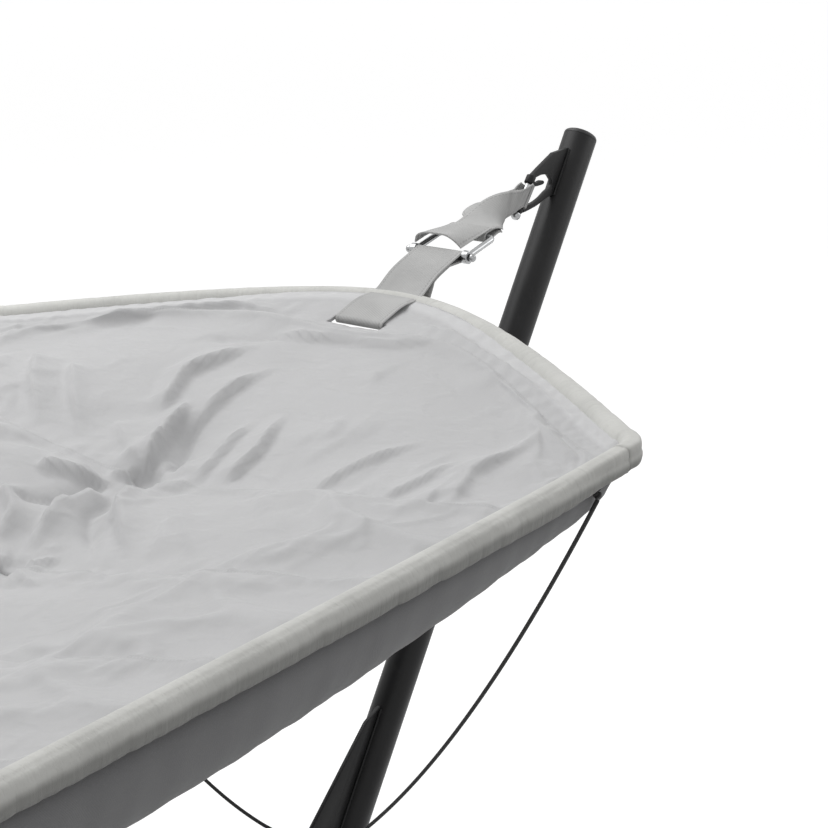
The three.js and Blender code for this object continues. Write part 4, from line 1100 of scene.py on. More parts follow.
class ClothFolds:
    """Folds of the top cloth: those pulled to the tufts and small creases between them."""

    def __init__(self, shape):
        sizes = shape.sizes
        chance = np.random.default_rng(7)
        self.folds = []
        for turn in (1.0, -1.0):
            for line, width, height, lean in PULLED_FOLDS:
                self.folds.append((np.array(line) * turn, width, height, lean))
        rows = shape.rows_each_side
        for row in range(-rows, rows + 1):
            first = chance.uniform(0.0, 2.0 * np.pi)
            for number in range(12):
                angle = first + (number + chance.uniform(-0.3, 0.3)) * np.pi / 6.0
                bend = angle + chance.uniform(-0.35, 0.35)
                reach = chance.uniform(0.04, 0.085)
                knee = 0.012 * self.heading(angle) + 0.5 * reach * self.heading(angle)
                line = [0.012 * self.heading(angle), knee, knee + 0.5 * reach * self.heading(bend)]
                place = np.array([row * sizes.row_pitch, 0.0])
                height = chance.uniform(0.005, 0.011)
                width = chance.uniform(0.008, 0.013)
                self.folds.append((np.array(line) + place, width, height, 0.4))
        for number in range(150):
            place = np.array([chance.uniform(-0.95, 0.95), chance.uniform(-0.44, 0.44)])
            heading = self.heading(chance.uniform(-0.7, 0.7))
            reach = chance.uniform(0.02, 0.06)
            line = np.array([place - heading * reach, place, place + heading * reach])
            line[1] += chance.uniform(-0.006, 0.006, 2)
            width = chance.uniform(0.009, 0.016)
            self.folds.append((line, width, chance.uniform(0.0012, 0.0036), 0.5))

    def heading(self, angle):
        return np.array([math.cos(angle), math.sin(angle)])

    def height(self, x, y):
        total = np.zeros_like(x)
        for line, width, height, lean in self.folds:
            low = line.min(axis=0) - 5.0 * width
            high = line.max(axis=0) + 5.0 * width
            near = (x > low[0]) & (x < high[0]) & (y > low[1]) & (y < high[1])
            if near.any():
                total[near] += self.fold(x[near], y[near], line, width, height, lean)
        return total

    def fold(self, x, y, line, width, height, lean):
        """A ridge along a broken line, steeper on one side, which fades out at its ends."""
        steps = np.diff(line, axis=0)
        sizes = np.linalg.norm(steps, axis=1)
        starts = np.concatenate([[0.0], np.cumsum(sizes)])
        nearest = np.full_like(x, 1.0)
        side = np.zeros_like(x)
        run = np.zeros_like(x)
        for start, step, size, begin in zip(line, steps, sizes, starts):
            dx, dy = x - start[0], y - start[1]
            t = np.clip((dx * step[0] + dy * step[1]) / size**2, 0.0, 1.0)
            away = np.hypot(dx - t * step[0], dy - t * step[1])
            closer = away < nearest
            nearest = np.where(closer, away, nearest)
            side = np.where(closer, np.sign(dx * step[1] - dy * step[0]), side)
            run = np.where(closer, begin + t * size, run)
        share = run / starts[-1]
        fade = eased(share / 0.2) * eased((1.0 - share) / 0.45)
        spread = width * (1.0 - 1.35 * lean * side) * (0.5 + 0.5 * fade)
        return height * fade * np.exp(-((nearest / spread) ** 1.2))


class HAMMOCK_OT_quilted_bed(bpy.types.Operator):
    """Makes the quilted pad: a simulated, tufted top over a plain underside"""

    bl_idname = "hammock.quilted_bed"
    bl_label = "Quilted bed"

    def execute(self, context):
        sizes = context.scene.hammock_sizes
        shape = BedShape(sizes)
        x, y = pad_grid(shape, shape.hem, *PAD_STEPS)
        start = np.stack([x, y, shape.pad_top(x, y) - 0.001], axis=-1)
        distance = self.seam_distance(shape, x, y)
        top = plain_lattice("quilted_bed", start)
        swollen = start.reshape(-1, 3)
        swollen = self.swell(context, shape, top, start, distance)
        top.data.vertices.foreach_set("co", swollen.ravel())
        once = {"levels": 1, "render_levels": 1, "boundary_smooth": "PRESERVE_CORNERS"}
        apply_modifier(top, "SUBSURF", **once)
        self.crease(top, shape)
        self.close_pad(top, shape)
        self.cut_slots(top, shape)
        self.write_measures(top, shape)
        place_piece(top, "top_cloth", "bed", ["bed_pad"])
        return {"FINISHED"}

    def seam_distance(self, shape, x, y):
        """Distance to the nearest row of stitching, hem line or edge."""
        pitch = shape.sizes.row_pitch
        reach = np.abs(x)
        row = np.minimum(shape.rows_each_side, np.round(reach / pitch)) * pitch
        return np.minimum(np.abs(reach - row), np.abs(reach - shape.hem(y)))

    def swell(self, context, shape, top, start, distance):
        """Blows the cloth up between its seams, and keeps it near its first shape."""
        held = np.exp(-((distance / 0.006) ** 2))
        beyond = np.abs(start[..., 0]) - shape.hem(start[..., 1])
        flap = eased(beyond / 0.02) * 0.6
        held = np.maximum(held, flap)
        held[[0, -1], :] = 1.0
        held[:, [0, -1]] = 1.0
        group = top.vertex_groups.new(name="held")
        for index, weight in enumerate(held.ravel()):
            if weight > 0.02:
                group.add([index], float(weight), "REPLACE")
        only(top)
        bpy.ops.object.modifier_add(type="CLOTH")
        cloth = top.modifiers[-1]
        settings = cloth.settings
        settings.quality = 5
        settings.mass = 0.15
        settings.air_damping = 3.0
        settings.tension_stiffness = 12.0
        settings.compression_stiffness = 12.0
        settings.shear_stiffness = 4.0
        settings.bending_stiffness = 0.12
        settings.use_pressure = True
        settings.uniform_pressure_force = 1.2
        settings.vertex_group_mass = "held"
        settings.pin_stiffness = 1.0
        settings.shrink_min = -0.035
        settings.effector_weights.gravity = 0.0
        cloth.collision_settings.use_collision = False
        cloth.point_cache.frame_start = 1
        cloth.point_cache.frame_end = CLOTH_FRAMES
        for step in range(1, CLOTH_FRAMES + 1):
            context.scene.frame_set(step)
        bpy.ops.object.modifier_apply(modifier=cloth.name)
        context.scene.frame_set(1)
        top.vertex_groups.clear()
        moved = vertex_places(top) - start.reshape(-1, 3)
        reach = np.linalg.norm(moved, axis=1, keepdims=True)
        limit = 0.014
        moved *= limit * np.tanh(reach / limit) / np.maximum(reach, 1e-9)
        return start.reshape(-1, 3) + moved

    def crease(self, top, shape):
        """Lays the folds, the seams' lips and the end bands on the swollen cloth."""
        places = vertex_places(top)
        x, y = places.T[:2]
        side = 1.0 - np.abs(y) / (shape.sizes.bed_half - shape.inset)
        end = shape.end_reach(y, shape.inset) - np.abs(x)
        free = eased(side / 0.08) * eased(end / 0.035)
        off_x = np.maximum(0.0, np.abs(np.abs(x) - shape.slot_x) - 0.01)
        off_y = np.maximum(0.0, np.abs(y) - shape.sizes.slot_half)
        free *= eased(np.hypot(off_x, off_y) / 0.02)
        band = shape.end_band(x, y) * eased(side / 0.02)
        lip = self.seam_lip(shape, x, y) * eased(side / 0.05)
        band_height = 0.0025
        places[:, 2] += free * ClothFolds(shape).height(x, y) + lip + band_height * band
        top.data.vertices.foreach_set("co", places.ravel())

    def seam_lip(self, shape, x, y):
        """The padding stands up beside each row of stitching, on the side towards the middle."""
        pitch = shape.sizes.row_pitch
        height, rise, fall = 0.0055, 0.03, 0.004
        row = np.clip(np.round(np.abs(x) / pitch), 1.0, shape.rows_each_side) * pitch
        ahead = np.abs(x) - row + 0.004 * np.sin(np.abs(y) * 23.0 + row * 9.0)
        crest = np.where(ahead < 0.0, np.exp(ahead / rise), np.exp(-((ahead / fall) ** 2)))
        return height * crest * eased((np.abs(y) - 0.02) / 0.08)

    def close_pad(self, top, shape):
        """Joins the pad's plain underside to its top along their edges."""
        x, y = pad_grid(shape, shape.filling_end, *PAD_STEPS)
        low = np.stack([x, y, shape.pad_under(x, y) + 0.001], axis=-1)[:, ::-1]
        under = plain_lattice("pad_under", low)
        only(top)
        under.select_set(True)
        bpy.ops.object.join()
        with editing(top):
            bpy.ops.mesh.select_mode(type="EDGE")
            bpy.ops.mesh.select_non_manifold()
            bpy.ops.mesh.bridge_edge_loops()
            bpy.ops.mesh.select_all(action="SELECT")
            bpy.ops.mesh.normals_make_consistent(inside=False)

    def cut_slots(self, top, shape):
        sizes = shape.sizes
        for side in (-1.0, 1.0):
            slot_z = float(shape.middle_z(shape.slot_x))
            centre = (side * shape.slot_x, 0.0, slot_z)
            bpy.ops.object.select_all(action="DESELECT")
            bpy.ops.mesh.primitive_cube_add(size=1.0, location=centre)
            cutter = named("slot_cutter")
            cutter.scale = (0.02, 2.0 * sizes.slot_half, 0.1)
            settle(cutter)
            merge_solids(top, [cutter], "DIFFERENCE")

    def write_measures(self, top, shape):
        """Writes each vertex's distance to a seam, its place along it, and the band at the end."""
        x, y = vertex_places(top).T[:2]
        write_values(top, "seam", self.seam_distance(shape, x, y))
        at_hem = np.abs(np.abs(x) - shape.hem(y)) < 0.02
        write_values(top, "along", np.where(at_hem, np.abs(y) * 1.2, y))
        write_values(top, "hem", shape.end_band(x, y))


class HAMMOCK_OT_underside(bpy.types.Operator):
    """Makes the grey sheet that carries the pad"""

    bl_idname = "hammock.underside"
    bl_label = "Underside sheet"

    def execute(self, context):
        sizes = context.scene.hammock_sizes
        shape = BedShape(sizes)
        x, y = pad_grid(shape, shape.filling_end, 20, 30, 1, 96)
        x, y = x[1:-1], y[1:-1]
        points = np.stack([x, y, shape.pad_under(x, y)], axis=-1)
        outward = unit(np.cross(np.gradient(points, axis=1), np.gradient(points, axis=0)))
        share = np.abs(y) / (sizes.bed_half - shape.inset)
        ripple = np.sin(x * 95.0 + 2.0 * np.sin(x * 17.0)) * np.sin(x * 41.0)
        wall = eased((share - 0.55) / 0.35)
        clear, bulge, wave, hem = 0.0024, 0.006, 0.0008, 0.0045
        points += outward * (clear + (bulge + wave * ripple) * wall)[..., None]
        edge = hem + sizes.rim_radius / 2.0
        points[..., 1] = np.clip(points[..., 1], edge - sizes.bed_half, sizes.bed_half - edge)
        tucked = points[:, [0, -1]].copy()
        tucked[..., 1] = np.sign(tucked[..., 1]) * (sizes.bed_half - sizes.rim_radius)
        tucked[..., 2] = sizes.rim_top - 2.0 * sizes.rim_radius - 0.0012
        tucked[..., 2] -= shape.rim_drop(tucked[..., 0])
        points = np.concatenate([tucked[:, :1], points, tucked[:, 1:]], axis=1)
        row_step, column_step = 0.0107, 0.0103
        along = np.arange(points.shape[0]) * row_step
        across = np.arange(points.shape[1]) * column_step
        piece = lattice("carrying_sheet", points, along, across)
        apply_modifier(piece, "SOLIDIFY", thickness=0.0016, offset=-1.0)
        place_piece(piece, "under_cloth", "bed", ["underside_sheet"])
        return {"FINISHED"}


class HAMMOCK_OT_rim_sleeves(bpy.types.Operator):
    """Makes the gathered cloth sleeves round the rim"""

    bl_idname = "hammock.rim_sleeves"
    bl_label = "Rim sleeves"

    def execute(self, context):
        sizes = context.scene.hammock_sizes
        shape = BedShape(sizes)
        line, corner_x = shape.rim_line(420)
        side_reach = corner_x - 0.03
        lift_from, lift_over = 0.7, 0.14
        rod_reach = corner_x - 2.0 * sizes.corner_radius
        rod_radius, rod_wall = 0.008, 0.0015
        rim_y = sizes.bed_half - sizes.rim_radius
        rim_z = sizes.rim_top - sizes.rim_radius
        for number, (name, side) in enumerate((("right", -1.0), ("left", 1.0))):
            x = np.linspace(-side_reach, side_reach, 620)
            rim = rim_z - shape.rim_drop(x)
            path = np.stack([x, np.full_like(x, side * rim_y), rim], axis=1)
            corner = eased((np.abs(x) - lift_from) / lift_over)
            piece = self.sleeve("gathered_sleeve_" + name, path, sizes.rim_radius, number, corner)
            place_piece(piece, "rim_cloth", "bed", ["side_sleeve_" + name])
            middle = path[np.abs(x) < rod_reach][::10]
            rod = tube_points(middle, rod_radius, 32)
            run = run_lengths(middle)
            core = lattice("bent_rod_" + name, rod, run, np.arange(33) / 32.0, wrap=True)
            apply_modifier(core, "SOLIDIFY", thickness=rod_wall, offset=-1.0)
            place_piece(core, "alloy", "bed", ["side_rod_" + name])
        end = self.sleeve("gathered_end", line, sizes.rim_radius, 2, np.ones(len(line)))
        both_ends(end, "gathered_end", "rim_cloth", "bed", ["end_sleeve_{}"])
        return {"FINISHED"}

    def sleeve(self, name, path, radius, seed, corner):
        """A sleeve drawn over the rim, in small uneven pleats.

        Along a side its cloth slopes over the rod to a ridge on the outer face, below which
        a lip hangs; towards the corners the ridge rises to the top.
        """
        chance = np.random.default_rng(40 + seed)
        sides = 36
        run = run_lengths(path)
        angle = turn_angles(sides)
        raised, hung = self.section(angle, radius)
        radii = hung + (raised - hung) * corner[:, None]
        for spread, depth, count in ((0.013, 0.0016, 0.034), (0.0045, 0.0009, 0.017)):
            for place in np.arange(0.01, run[-1], count):
                middle = place + chance.uniform(-0.4, 0.4) * count
                face = chance.uniform(-1.2, 0.5)
                skew = chance.uniform(-0.008, 0.008)
                turn = (angle - face + np.pi) % (2.0 * np.pi) - np.pi
                fold = (run[:, None] - middle - skew * turn[None, :]) / spread
                shape = np.exp(-(fold**2)) * np.exp(-((turn / 0.8) ** 2))[None, :]
                radii -= depth * chance.uniform(0.2, 1.0) * shape
        along = unit(np.gradient(path, axis=0))
        outward = unit(np.cross(along, [0.0, 0.0, 1.0]))
        inner = np.sum(outward * path, axis=1, keepdims=True) < 0.0
        outward = np.where(inner, -outward, outward)
        upward = np.cross(outward, along)
        upward *= np.sign(upward[:, 2:])
        across = (radii * np.cos(angle))[..., None] * outward[:, None]
        points = path[:, None] + across + (radii * np.sin(angle))[..., None] * upward[:, None]
        around = np.arange(sides + 1) / sides
        piece = lattice(name, points, run, around, wrap=True)
        close_ends(piece)
        return piece

    def section(self, angle, radius):
        """Radii of the sleeve's two sections in each direction, from outwards over the top."""
        raised = [(1.0, -1.0), (1.04, 0.0), (0.98, 0.85), (0.72, 1.06), (0.4, 1.03), (-0.8, 0.6)]
        raised += [(-1.0, 0.0), (-0.7, -0.75), (0.0, -1.05), (0.75, -1.3), (0.95, -1.25)]
        hung = [(1.02, -1.0), (1.12, -0.4), (1.1, -0.16), (0.95, 0.04), (0.35, 0.62)]
        hung += [(-0.15, 0.78), (-0.8, 0.6), (-1.0, 0.0), (-0.7, -0.75), (0.0, -1.1)]
        hung += [(0.72, -1.62), (0.95, -1.58)]
        radii = []
        for outline in (raised, hung):
            outward, upward = np.array(outline).T
            turn = np.arctan2(upward, outward) % (2.0 * np.pi)
            order = np.argsort(turn)
            reach = np.hypot(outward, upward)[order]
            radii.append(radius * np.interp(angle, turn[order], reach, period=2.0 * np.pi))
        return radii


# Straps and metal between the bed and the hooks


def wrapped(circles, samples):
    """The outer loop round circles (x, z, radius), with the number of each point's circle."""
    points = []
    for number, (cx, cz, radius) in enumerate(circles):
        for a in np.arange(samples) * 2.0 * np.pi / samples:
            points.append((cx + radius * math.cos(a), cz + radius * math.sin(a), number))
    points.sort()

    def chain(ordered):
        hull = []
        for p in ordered:
            while len(hull) > 1:
                o, a = hull[-2], hull[-1]
                if (a[0] - o[0]) * (p[1] - o[1]) - (a[1] - o[1]) * (p[0] - o[0]) > 0:
                    break
                hull.pop()
            hull.append(p)
        return hull[:-1]

    return chain(points) + chain(points[::-1])


def strap_piece(name, stations, thickness, loop=True):
    """Webbing through stations (centre, width, outward), with rounded edges."""
    rings = []
    edges = []
    widths = []
    for centre, width, out in stations:
        size = float(np.linalg.norm(width))
        out = np.array(out) / np.linalg.norm(out)
        width = np.array(width)
        inner = 0.5 - 0.4 * thickness / size
        row = [inner, inner * 0.75, inner * 0.4, 0.0, -inner * 0.4, -inner * 0.75, -inner]
        profile = [(a, 0.5) for a in row] + [(-0.5, 0.0)]
        profile += [(a, -0.5) for a in row[::-1]] + [(0.5, 0.0)]
        rings.append([centre + a * width + b * thickness * out for a, b in profile])
        edges.append([(0.5 - abs(a)) * size for a, b in profile])
        widths.append(size)
    points = np.array(rings)
    middle = np.array([station[0] for station in stations])
    if loop:
        middle = np.vstack([middle, middle[:1]])
    across = np.array([a for a, b in profile] + [profile[0][0]]) * np.mean(widths)
    piece = lattice(name, points, run_lengths(middle), across, wrap=True, loop=loop)
    write_values(piece, "edge", edges)
    if not loop:
        close_ends(piece)
    return piece


class StrapLines:
    """Centre lines of the two straps at end a."""

    def __init__(self, sizes):
        self.sizes = sizes
        self.bed = BedShape(sizes)
        self.stand = StandShape(sizes)
        self.pin = flat_point(sizes.pin_x, sizes.pin_z)
        self.fork = self.stand.fork(self.stand.strap_down)
        self.along = (self.fork - self.pin) / np.linalg.norm(self.fork - self.pin)
        self.crown = self.pin + self.along * sizes.crown_reach

    def lower(self):
        sizes = self.sizes
        web = sizes.web
        half = web / 2.0 + GAP
        tip_x = sizes.bed_tip - sizes.rim_radius
        tip_z = float(self.bed.edge_top(0.0)) - sizes.rim_radius
        fold_x = self.bed.slot_x + 0.01
        tip = (tip_x, tip_z, sizes.rim_radius + half + 0.001)
        pin = (sizes.pin_x, sizes.pin_z, sizes.pin_radius + half)
        fold_radius = sizes.flap / 2.0 + half
        fold_z = float(self.bed.middle_z(fold_x)) - sizes.flap / 2.0
        fold = (fold_x - GAP, fold_z, fold_radius + GAP)
        samples = 56
        pinched = 0.032
        whole = wrapped([fold, tip, pin], samples)
        last = max(i for i, p in enumerate(whole) if p[2] == 2)
        left, right = whole[last], whole[(last + 1) % len(whole)]
        slope = (left[1] - right[1]) / (left[0] - right[0])
        down = np.array([slope, 0.0, -1.0]) / math.hypot(slope, 1.0)

        def against(x):
            drop = (web + GAP) * math.hypot(1.0, slope)
            return (x, right[1] + slope * (x - right[0]) - drop, 0.0)

        start = against(tip[0] + pinched)
        stop = against(pin[0] - pinched)
        under = wrapped([fold, tip, start], samples)
        first_pinch = next(i for i, p in enumerate(under) if p[2] == 2)
        lower = [(p, (fold, tip, start)[p[2]], p[2] == 2) for p in under[: first_pinch + 1]]
        turn = wrapped([stop, pin], samples)
        around = [(p, (stop, pin)[p[2]], p[2] == 0) for p in turn if p[2] == 0 or p[1] <= pin[1]]
        begin = next(i for i, p in enumerate(whole) if p[2] == 2 and p[1] > pin[1])
        upper = [(p, (fold, tip, pin)[p[2]], False) for p in whole[begin:]]
        stations = []
        for layer in (lower, around, upper):
            for p, circle, pinch in layer:
                out = down if pinch else np.array([p[0] - circle[0], 0.0, p[1] - circle[1]])
                stations.append((flat_point(p[0], p[1]), out, layer is upper))
        return self.laid_on_rim(stations, tip_x)

    def laid_on_rim(self, stations, tip_x):
        """Adds stations where they lie far apart, and lets the strap dip to rest on the rim."""
        laid = []
        spacing, depth, reach = 0.006, 0.0105, 0.027
        for here, after in zip(stations, stations[1:] + stations[:1]):
            count = max(1, int(np.linalg.norm(after[0] - here[0]) / spacing))
            for t in np.arange(count) / count:
                place = here[0] + (after[0] - here[0]) * t
                out = np.array(here[1]) / np.linalg.norm(here[1])
                out = out + (np.array(after[1]) / np.linalg.norm(after[1]) - out) * t
                free = 1.0 if here[2] else float(eased((place[0] - tip_x - 0.012) / 0.02))
                dip = depth * math.exp(-(((place[0] - tip_x) / reach) ** 2)) * free
                laid.append((place - np.array([0.0, 0.0, dip]), out))
        return laid

    def upper_frame(self):
        pin_along = self.stand.fork(self.stand.lugs[1][0]) - self.fork
        pin_along /= np.linalg.norm(pin_along)
        across = np.array([0.0, 1.0, 0.0])
        to_post = np.cross(pin_along, across)
        if to_post[0] < 0:
            to_post = -to_post
        return pin_along, across, to_post

    def turned(self, u):
        """Directions across and out of the upper strap, which makes a quarter turn on its way."""
        pin_along, across = self.upper_frame()[:2]
        a = (math.pi / 2.0) * float(eased((u - 0.1) / 0.75))
        width = across * math.cos(a) - pin_along * math.sin(a)
        out = np.cross(self.along, width)
        return width, out / np.linalg.norm(out)

    def upper_width_at(self, u):
        sizes = self.sizes
        narrowed = float(eased((u - 0.4) / 0.52))
        return sizes.upper_width + (sizes.hook_width - sizes.upper_width) * narrowed

    def upper_ends(self):
        sizes = self.sizes
        to_post = self.upper_frame()[2]
        beyond = sizes.crown_loop - sizes.wire_radius - GAP - sizes.web / 2.0
        loose = 0.0046
        fork_half = sizes.fork_pin + loose + sizes.web / 2.0
        reach = sizes.fork_pin + GAP + sizes.web / 2.0 - fork_half
        return self.crown + self.along * beyond, self.fork + to_post * reach, fork_half

    def layer_station(self, u, side):
        sizes = self.sizes
        loop_mid, fork_end, fork_half = self.upper_ends()
        layer_gap = 0.0016 + sizes.web / 2.0 - GAP
        width, out = self.turned(u)
        spread = (sizes.crown_loop - layer_gap) * (1.0 - float(eased(u / 0.3)))
        spread += (fork_half - layer_gap) * float(eased((u - 0.6) / 0.4))
        crease = 0.0022 * math.exp(-(((u - 0.72) / 0.035) ** 2))
        ridge = 0.0016 * math.exp(-(((u - 0.82) / 0.05) ** 2))
        centre = loop_mid + (fork_end - loop_mid) * u
        centre = centre + out * side * (layer_gap + spread) + out * (ridge - crease)
        return centre, width * self.upper_width_at(u), out * side

    def upper(self):
        sizes = self.sizes
        pin_along, across, to_post = self.upper_frame()
        loop_mid, fork_end, fork_half = self.upper_ends()
        stations = []
        width, out = self.turned(0.0)
        for a in np.linspace(math.pi / 2.0, 3.0 * math.pi / 2.0, 25):
            radial = self.along * math.cos(a) - out * math.sin(a)
            place = loop_mid + radial * sizes.crown_loop
            stations.append((place, width * sizes.upper_width, radial))
        squareness = 0.62
        steps = np.linspace(0.0, 1.0, 58)[1:-1]
        stations += [self.layer_station(float(u), 1.0) for u in steps]
        sign = float(np.sign(self.turned(1.0)[1][1]))
        for a in np.linspace(math.pi / 2.0, -math.pi / 2.0, 19):
            reach = math.copysign(abs(math.cos(a)) ** squareness, math.cos(a))
            spread = math.copysign(abs(math.sin(a)) ** squareness, math.sin(a))
            radial = to_post * reach + across * (spread * sign)
            out = to_post * math.cos(a) + across * (math.sin(a) * sign)
            stations.append((fork_end + radial * fork_half, pin_along * sizes.hook_width, out))
        stations += [self.layer_station(float(u), -1.0) for u in steps[::-1]]
        return stations


class HAMMOCK_OT_straps(bpy.types.Operator):
    """Makes the webbing: the strap round the rim and the twisted strap up to the hook"""

    bl_idname = "hammock.straps"
    bl_label = "Straps"

    def execute(self, context):
        sizes = context.scene.hammock_sizes
        lines = StrapLines(sizes)
        lower = [(c, np.array([0.0, sizes.lower_width, 0.0]), out) for c, out in lines.lower()]
        for name, part, stations in (("rim", "lower", lower), ("hook", "upper", lines.upper())):
            piece = strap_piece(name + "_strap", stations, sizes.web)
            face_outwards(piece)
            smooth_by_angle(piece, 50.0)
            both_ends(piece, name + "_strap", "webbing", "bed", [part + "_strap_{}"])
        tail = self.tail(sizes, lines)
        both_ends(tail, "strap_tail", "webbing", "bed", [])
        flap = self.flap(sizes, lines)
        both_ends(flap, "strap_flap", "webbing", "bed", [])
        return {"FINISHED"}

    def flap(self, sizes, lines):
        """The webbing's loose cut end: it arches from the crown over the bow towards the pin."""
        up = np.cross(lines.along, [0.0, 1.0, 0.0])
        up *= math.copysign(1.0, up[2])
        v = np.linspace(-1.0, 1.0, 41)
        power = np.where(v > 0.0, 4.5, 1.8)
        arch = np.maximum(0.0, 1.0 - np.abs(v) ** power) ** np.where(v > 0.0, 0.5, 0.9)
        rows = []
        for t in np.linspace(0.0, 1.0, 26):
            grown = float(eased(t / 0.7))
            rise = 0.0085 - 0.001 * grown + (0.001 + 0.016 * t**1.3) * arch
            run = sizes.crown_reach + 0.011 - 0.071 * t
            half = np.where(v > 0.0, 0.033 + 0.0135 * grown, 0.033 - 0.004 * grown)
            centre = lines.pin + lines.along * run + up * rise[:, None]
            rows.append(centre + np.stack([0.0 * v, half * v, 0.0 * v], axis=1))
        half = 0.038
        piece = lattice("strap_flap", np.array(rows), np.arange(26) * 0.002, v * half)
        write_values(piece, "edge", np.tile((1.0 - np.abs(v)) * half, 26))
        apply_modifier(piece, "SOLIDIFY", thickness=sizes.web * 0.8, offset=0.0)
        face_outwards(piece)
        smooth_by_angle(piece, 50.0)
        return piece

    def tail(self, sizes, lines):
        """The free end of the webbing: a short rounded tab beside the upper strap."""
        centre, width, out = lines.layer_station(0.36, 1.0)
        side = width / np.linalg.norm(width)
        up = out / np.linalg.norm(out)
        stations = []
        start, stop, tab_width, under_strap = 0.002, 0.05, 0.05, 0.0029
        for t in np.linspace(0.0, 1.0, 26):
            reach = start + (stop - start) * t
            drop = -0.0045 * t - 0.006 * t**3
            round_off = math.sqrt(max(0.03, 1.0 - max(0.0, (t - 0.72) / 0.28) ** 2.4))
            middle = centre - up * under_strap + side * reach + up * drop
            middle += lines.along * 0.006 * t
            stations.append((middle, lines.along * tab_width * round_off, up + side * 0.3 * t))
        piece = strap_piece("strap_tail", stations, sizes.web * 0.9, loop=False)
        smooth_by_angle(piece, 50.0)
        return piece


class HAMMOCK_OT_shackles(bpy.types.Operator):
    """Makes the chrome shackles: a bent wire bow with flat eyes, and its pin"""

    bl_idname = "hammock.shackles"
    bl_label = "Shackles"

    def execute(self, context):
        sizes = context.scene.hammock_sizes
        lines = StrapLines(sizes)
        bow = self.bow(sizes, lines)
        both_ends(bow, "bent_bow", "chrome", "bed", ["shackle_bow_{}"])
        pin = self.pin(sizes, lines)
        both_ends(pin, "turned_pin", "chrome", "shackle_pin_{}", ["shackle_pin_{}"])
        return {"FINISHED"}

    def bow(self, sizes, lines):
        side = sizes.shackle_half
        corner = sizes.shackle_corner
        far = sizes.crown_reach
        leg_from, eye_radius, play, bore_depth = 0.0045, 0.009, 0.0004, 0.12

        def at(reach, y):
            return lines.pin + lines.along * reach + np.array([0.0, y, 0.0])

        t = np.linspace(0.0, 1.0, 14)[:, None]

        def bend(a, b, c):
            return (1 - t) ** 2 * a + 2 * t * (1 - t) * b + t**2 * c

        left = bend(at(far - corner, -side), at(far, -side), at(far, corner - side))
        right = bend(at(far, side - corner), at(far, side), at(far - corner, side))
        leg = np.linspace(0.0, 1.0, 10)[:-1, None]
        low = at(leg_from, -side) + (left[0] - at(leg_from, -side)) * leg
        high = right[-1] + (at(leg_from, side) - right[-1]) * np.linspace(0.0, 1.0, 10)[1:, None]
        bar = left[-1] + (right[0] - left[-1]) * np.linspace(0.0, 1.0, 12)[1:-1, None]
        wire = tube_piece("bow", np.vstack([low, left, bar, right, high]), sizes.wire_radius, 24)
        eyes = [self.eye(at(0.0, y), eye_radius, sizes.eye_half) for y in (-side, side)]
        merge_solids(wire, eyes, "UNION")
        bore = cylinder("bore", 40, sizes.pin_radius + play, bore_depth, lines.pin, ACROSS)
        merge_solids(wire, [bore], "DIFFERENCE")
        round_edges(wire, 0.0006, 0.7)
        smooth_by_angle(wire, 40.0)
        return wire

    def eye(self, centre, radius, half):
        eye = cylinder("eye", 40, radius, 2.0 * half, centre, ACROSS)
        with editing(eye):
            pick(eye, "FACE", lambda face: abs(face.normal.y) > 0.9)
            bpy.ops.mesh.inset(thickness=0.0016)
            bpy.ops.transform.resize(value=(1.0, 1.16, 1.0), center_override=centre)
        return eye

    def pin(self, sizes, lines):
        head = sizes.shackle_half + sizes.eye_half + GAP + sizes.shackle_ball - 0.001
        shank = cylinder("shank", 32, sizes.pin_radius, 2.0 * head, lines.pin, ACROSS)
        heads = []
        for y in (-head, head):
            bpy.ops.object.select_all(action="DESELECT")
            bpy.ops.mesh.primitive_uv_sphere_add(
                segments=32,
                ring_count=18,
                radius=sizes.shackle_ball,
                location=lines.pin + np.array([0.0, y, 0.0]),
                rotation=ACROSS,
            )
            ball = settle(named("ball"))
            with editing(ball):
                outer = y + math.copysign(sizes.shackle_ball - 0.0009, y)
                pick(ball, "VERT", lambda vert: abs(vert.co.y) > abs(outer))
                bpy.ops.transform.resize(value=(1.0, 0.0, 1.0), center_override=(0.0, outer, 0.0))
            heads.append(ball)
        merge_solids(shank, heads, "UNION")
        smooth_by_angle(shank, 40.0)
        return shank


class HAMMOCK_OT_hook_pins(bpy.types.Operator):
    """Makes the bright pins with ball ends that close the forks"""

    bl_idname = "hammock.hook_pins"
    bl_label = "Hook pins"

    def execute(self, context):
        sizes = context.scene.hammock_sizes
        stand = StandShape(sizes)
        top_down, ball_down, ball_radius, ball_cut = 0.1078, 0.1693, 0.007, 0.006
        top = stand.fork(top_down)
        ball = stand.fork(ball_down)
        axis = Vector(ball - top)
        turn = axis.to_track_quat("Z", "Y").to_euler()
        shank = cylinder("shank", 32, sizes.fork_pin, axis.length, (top + ball) / 2.0, turn)
        bpy.ops.object.select_all(action="DESELECT")
        bpy.ops.mesh.primitive_uv_sphere_add(
            segments=32, ring_count=20, radius=ball_radius, location=ball, rotation=turn
        )
        head = settle(named("head"))
        flat = axis.normalized()
        with editing(head):
            plane = Vector(ball) + flat * ball_cut
            pick(head, "VERT", lambda vert: (vert.co - plane).dot(flat) > 0.0)
            bpy.ops.mesh.delete(type="VERT")
            bpy.ops.mesh.select_non_manifold()
            bpy.ops.mesh.fill_holes(sides=0)
        merge_solids(shank, [head], "UNION")
        round_edges(shank, 0.0005, 0.7)
        smooth_by_angle(shank, 40.0)
        both_ends(shank, "ball_pin", "chrome", "hook_pin_{}", ["hook_pin_{}"])
        return {"FINISHED"}


# Stand


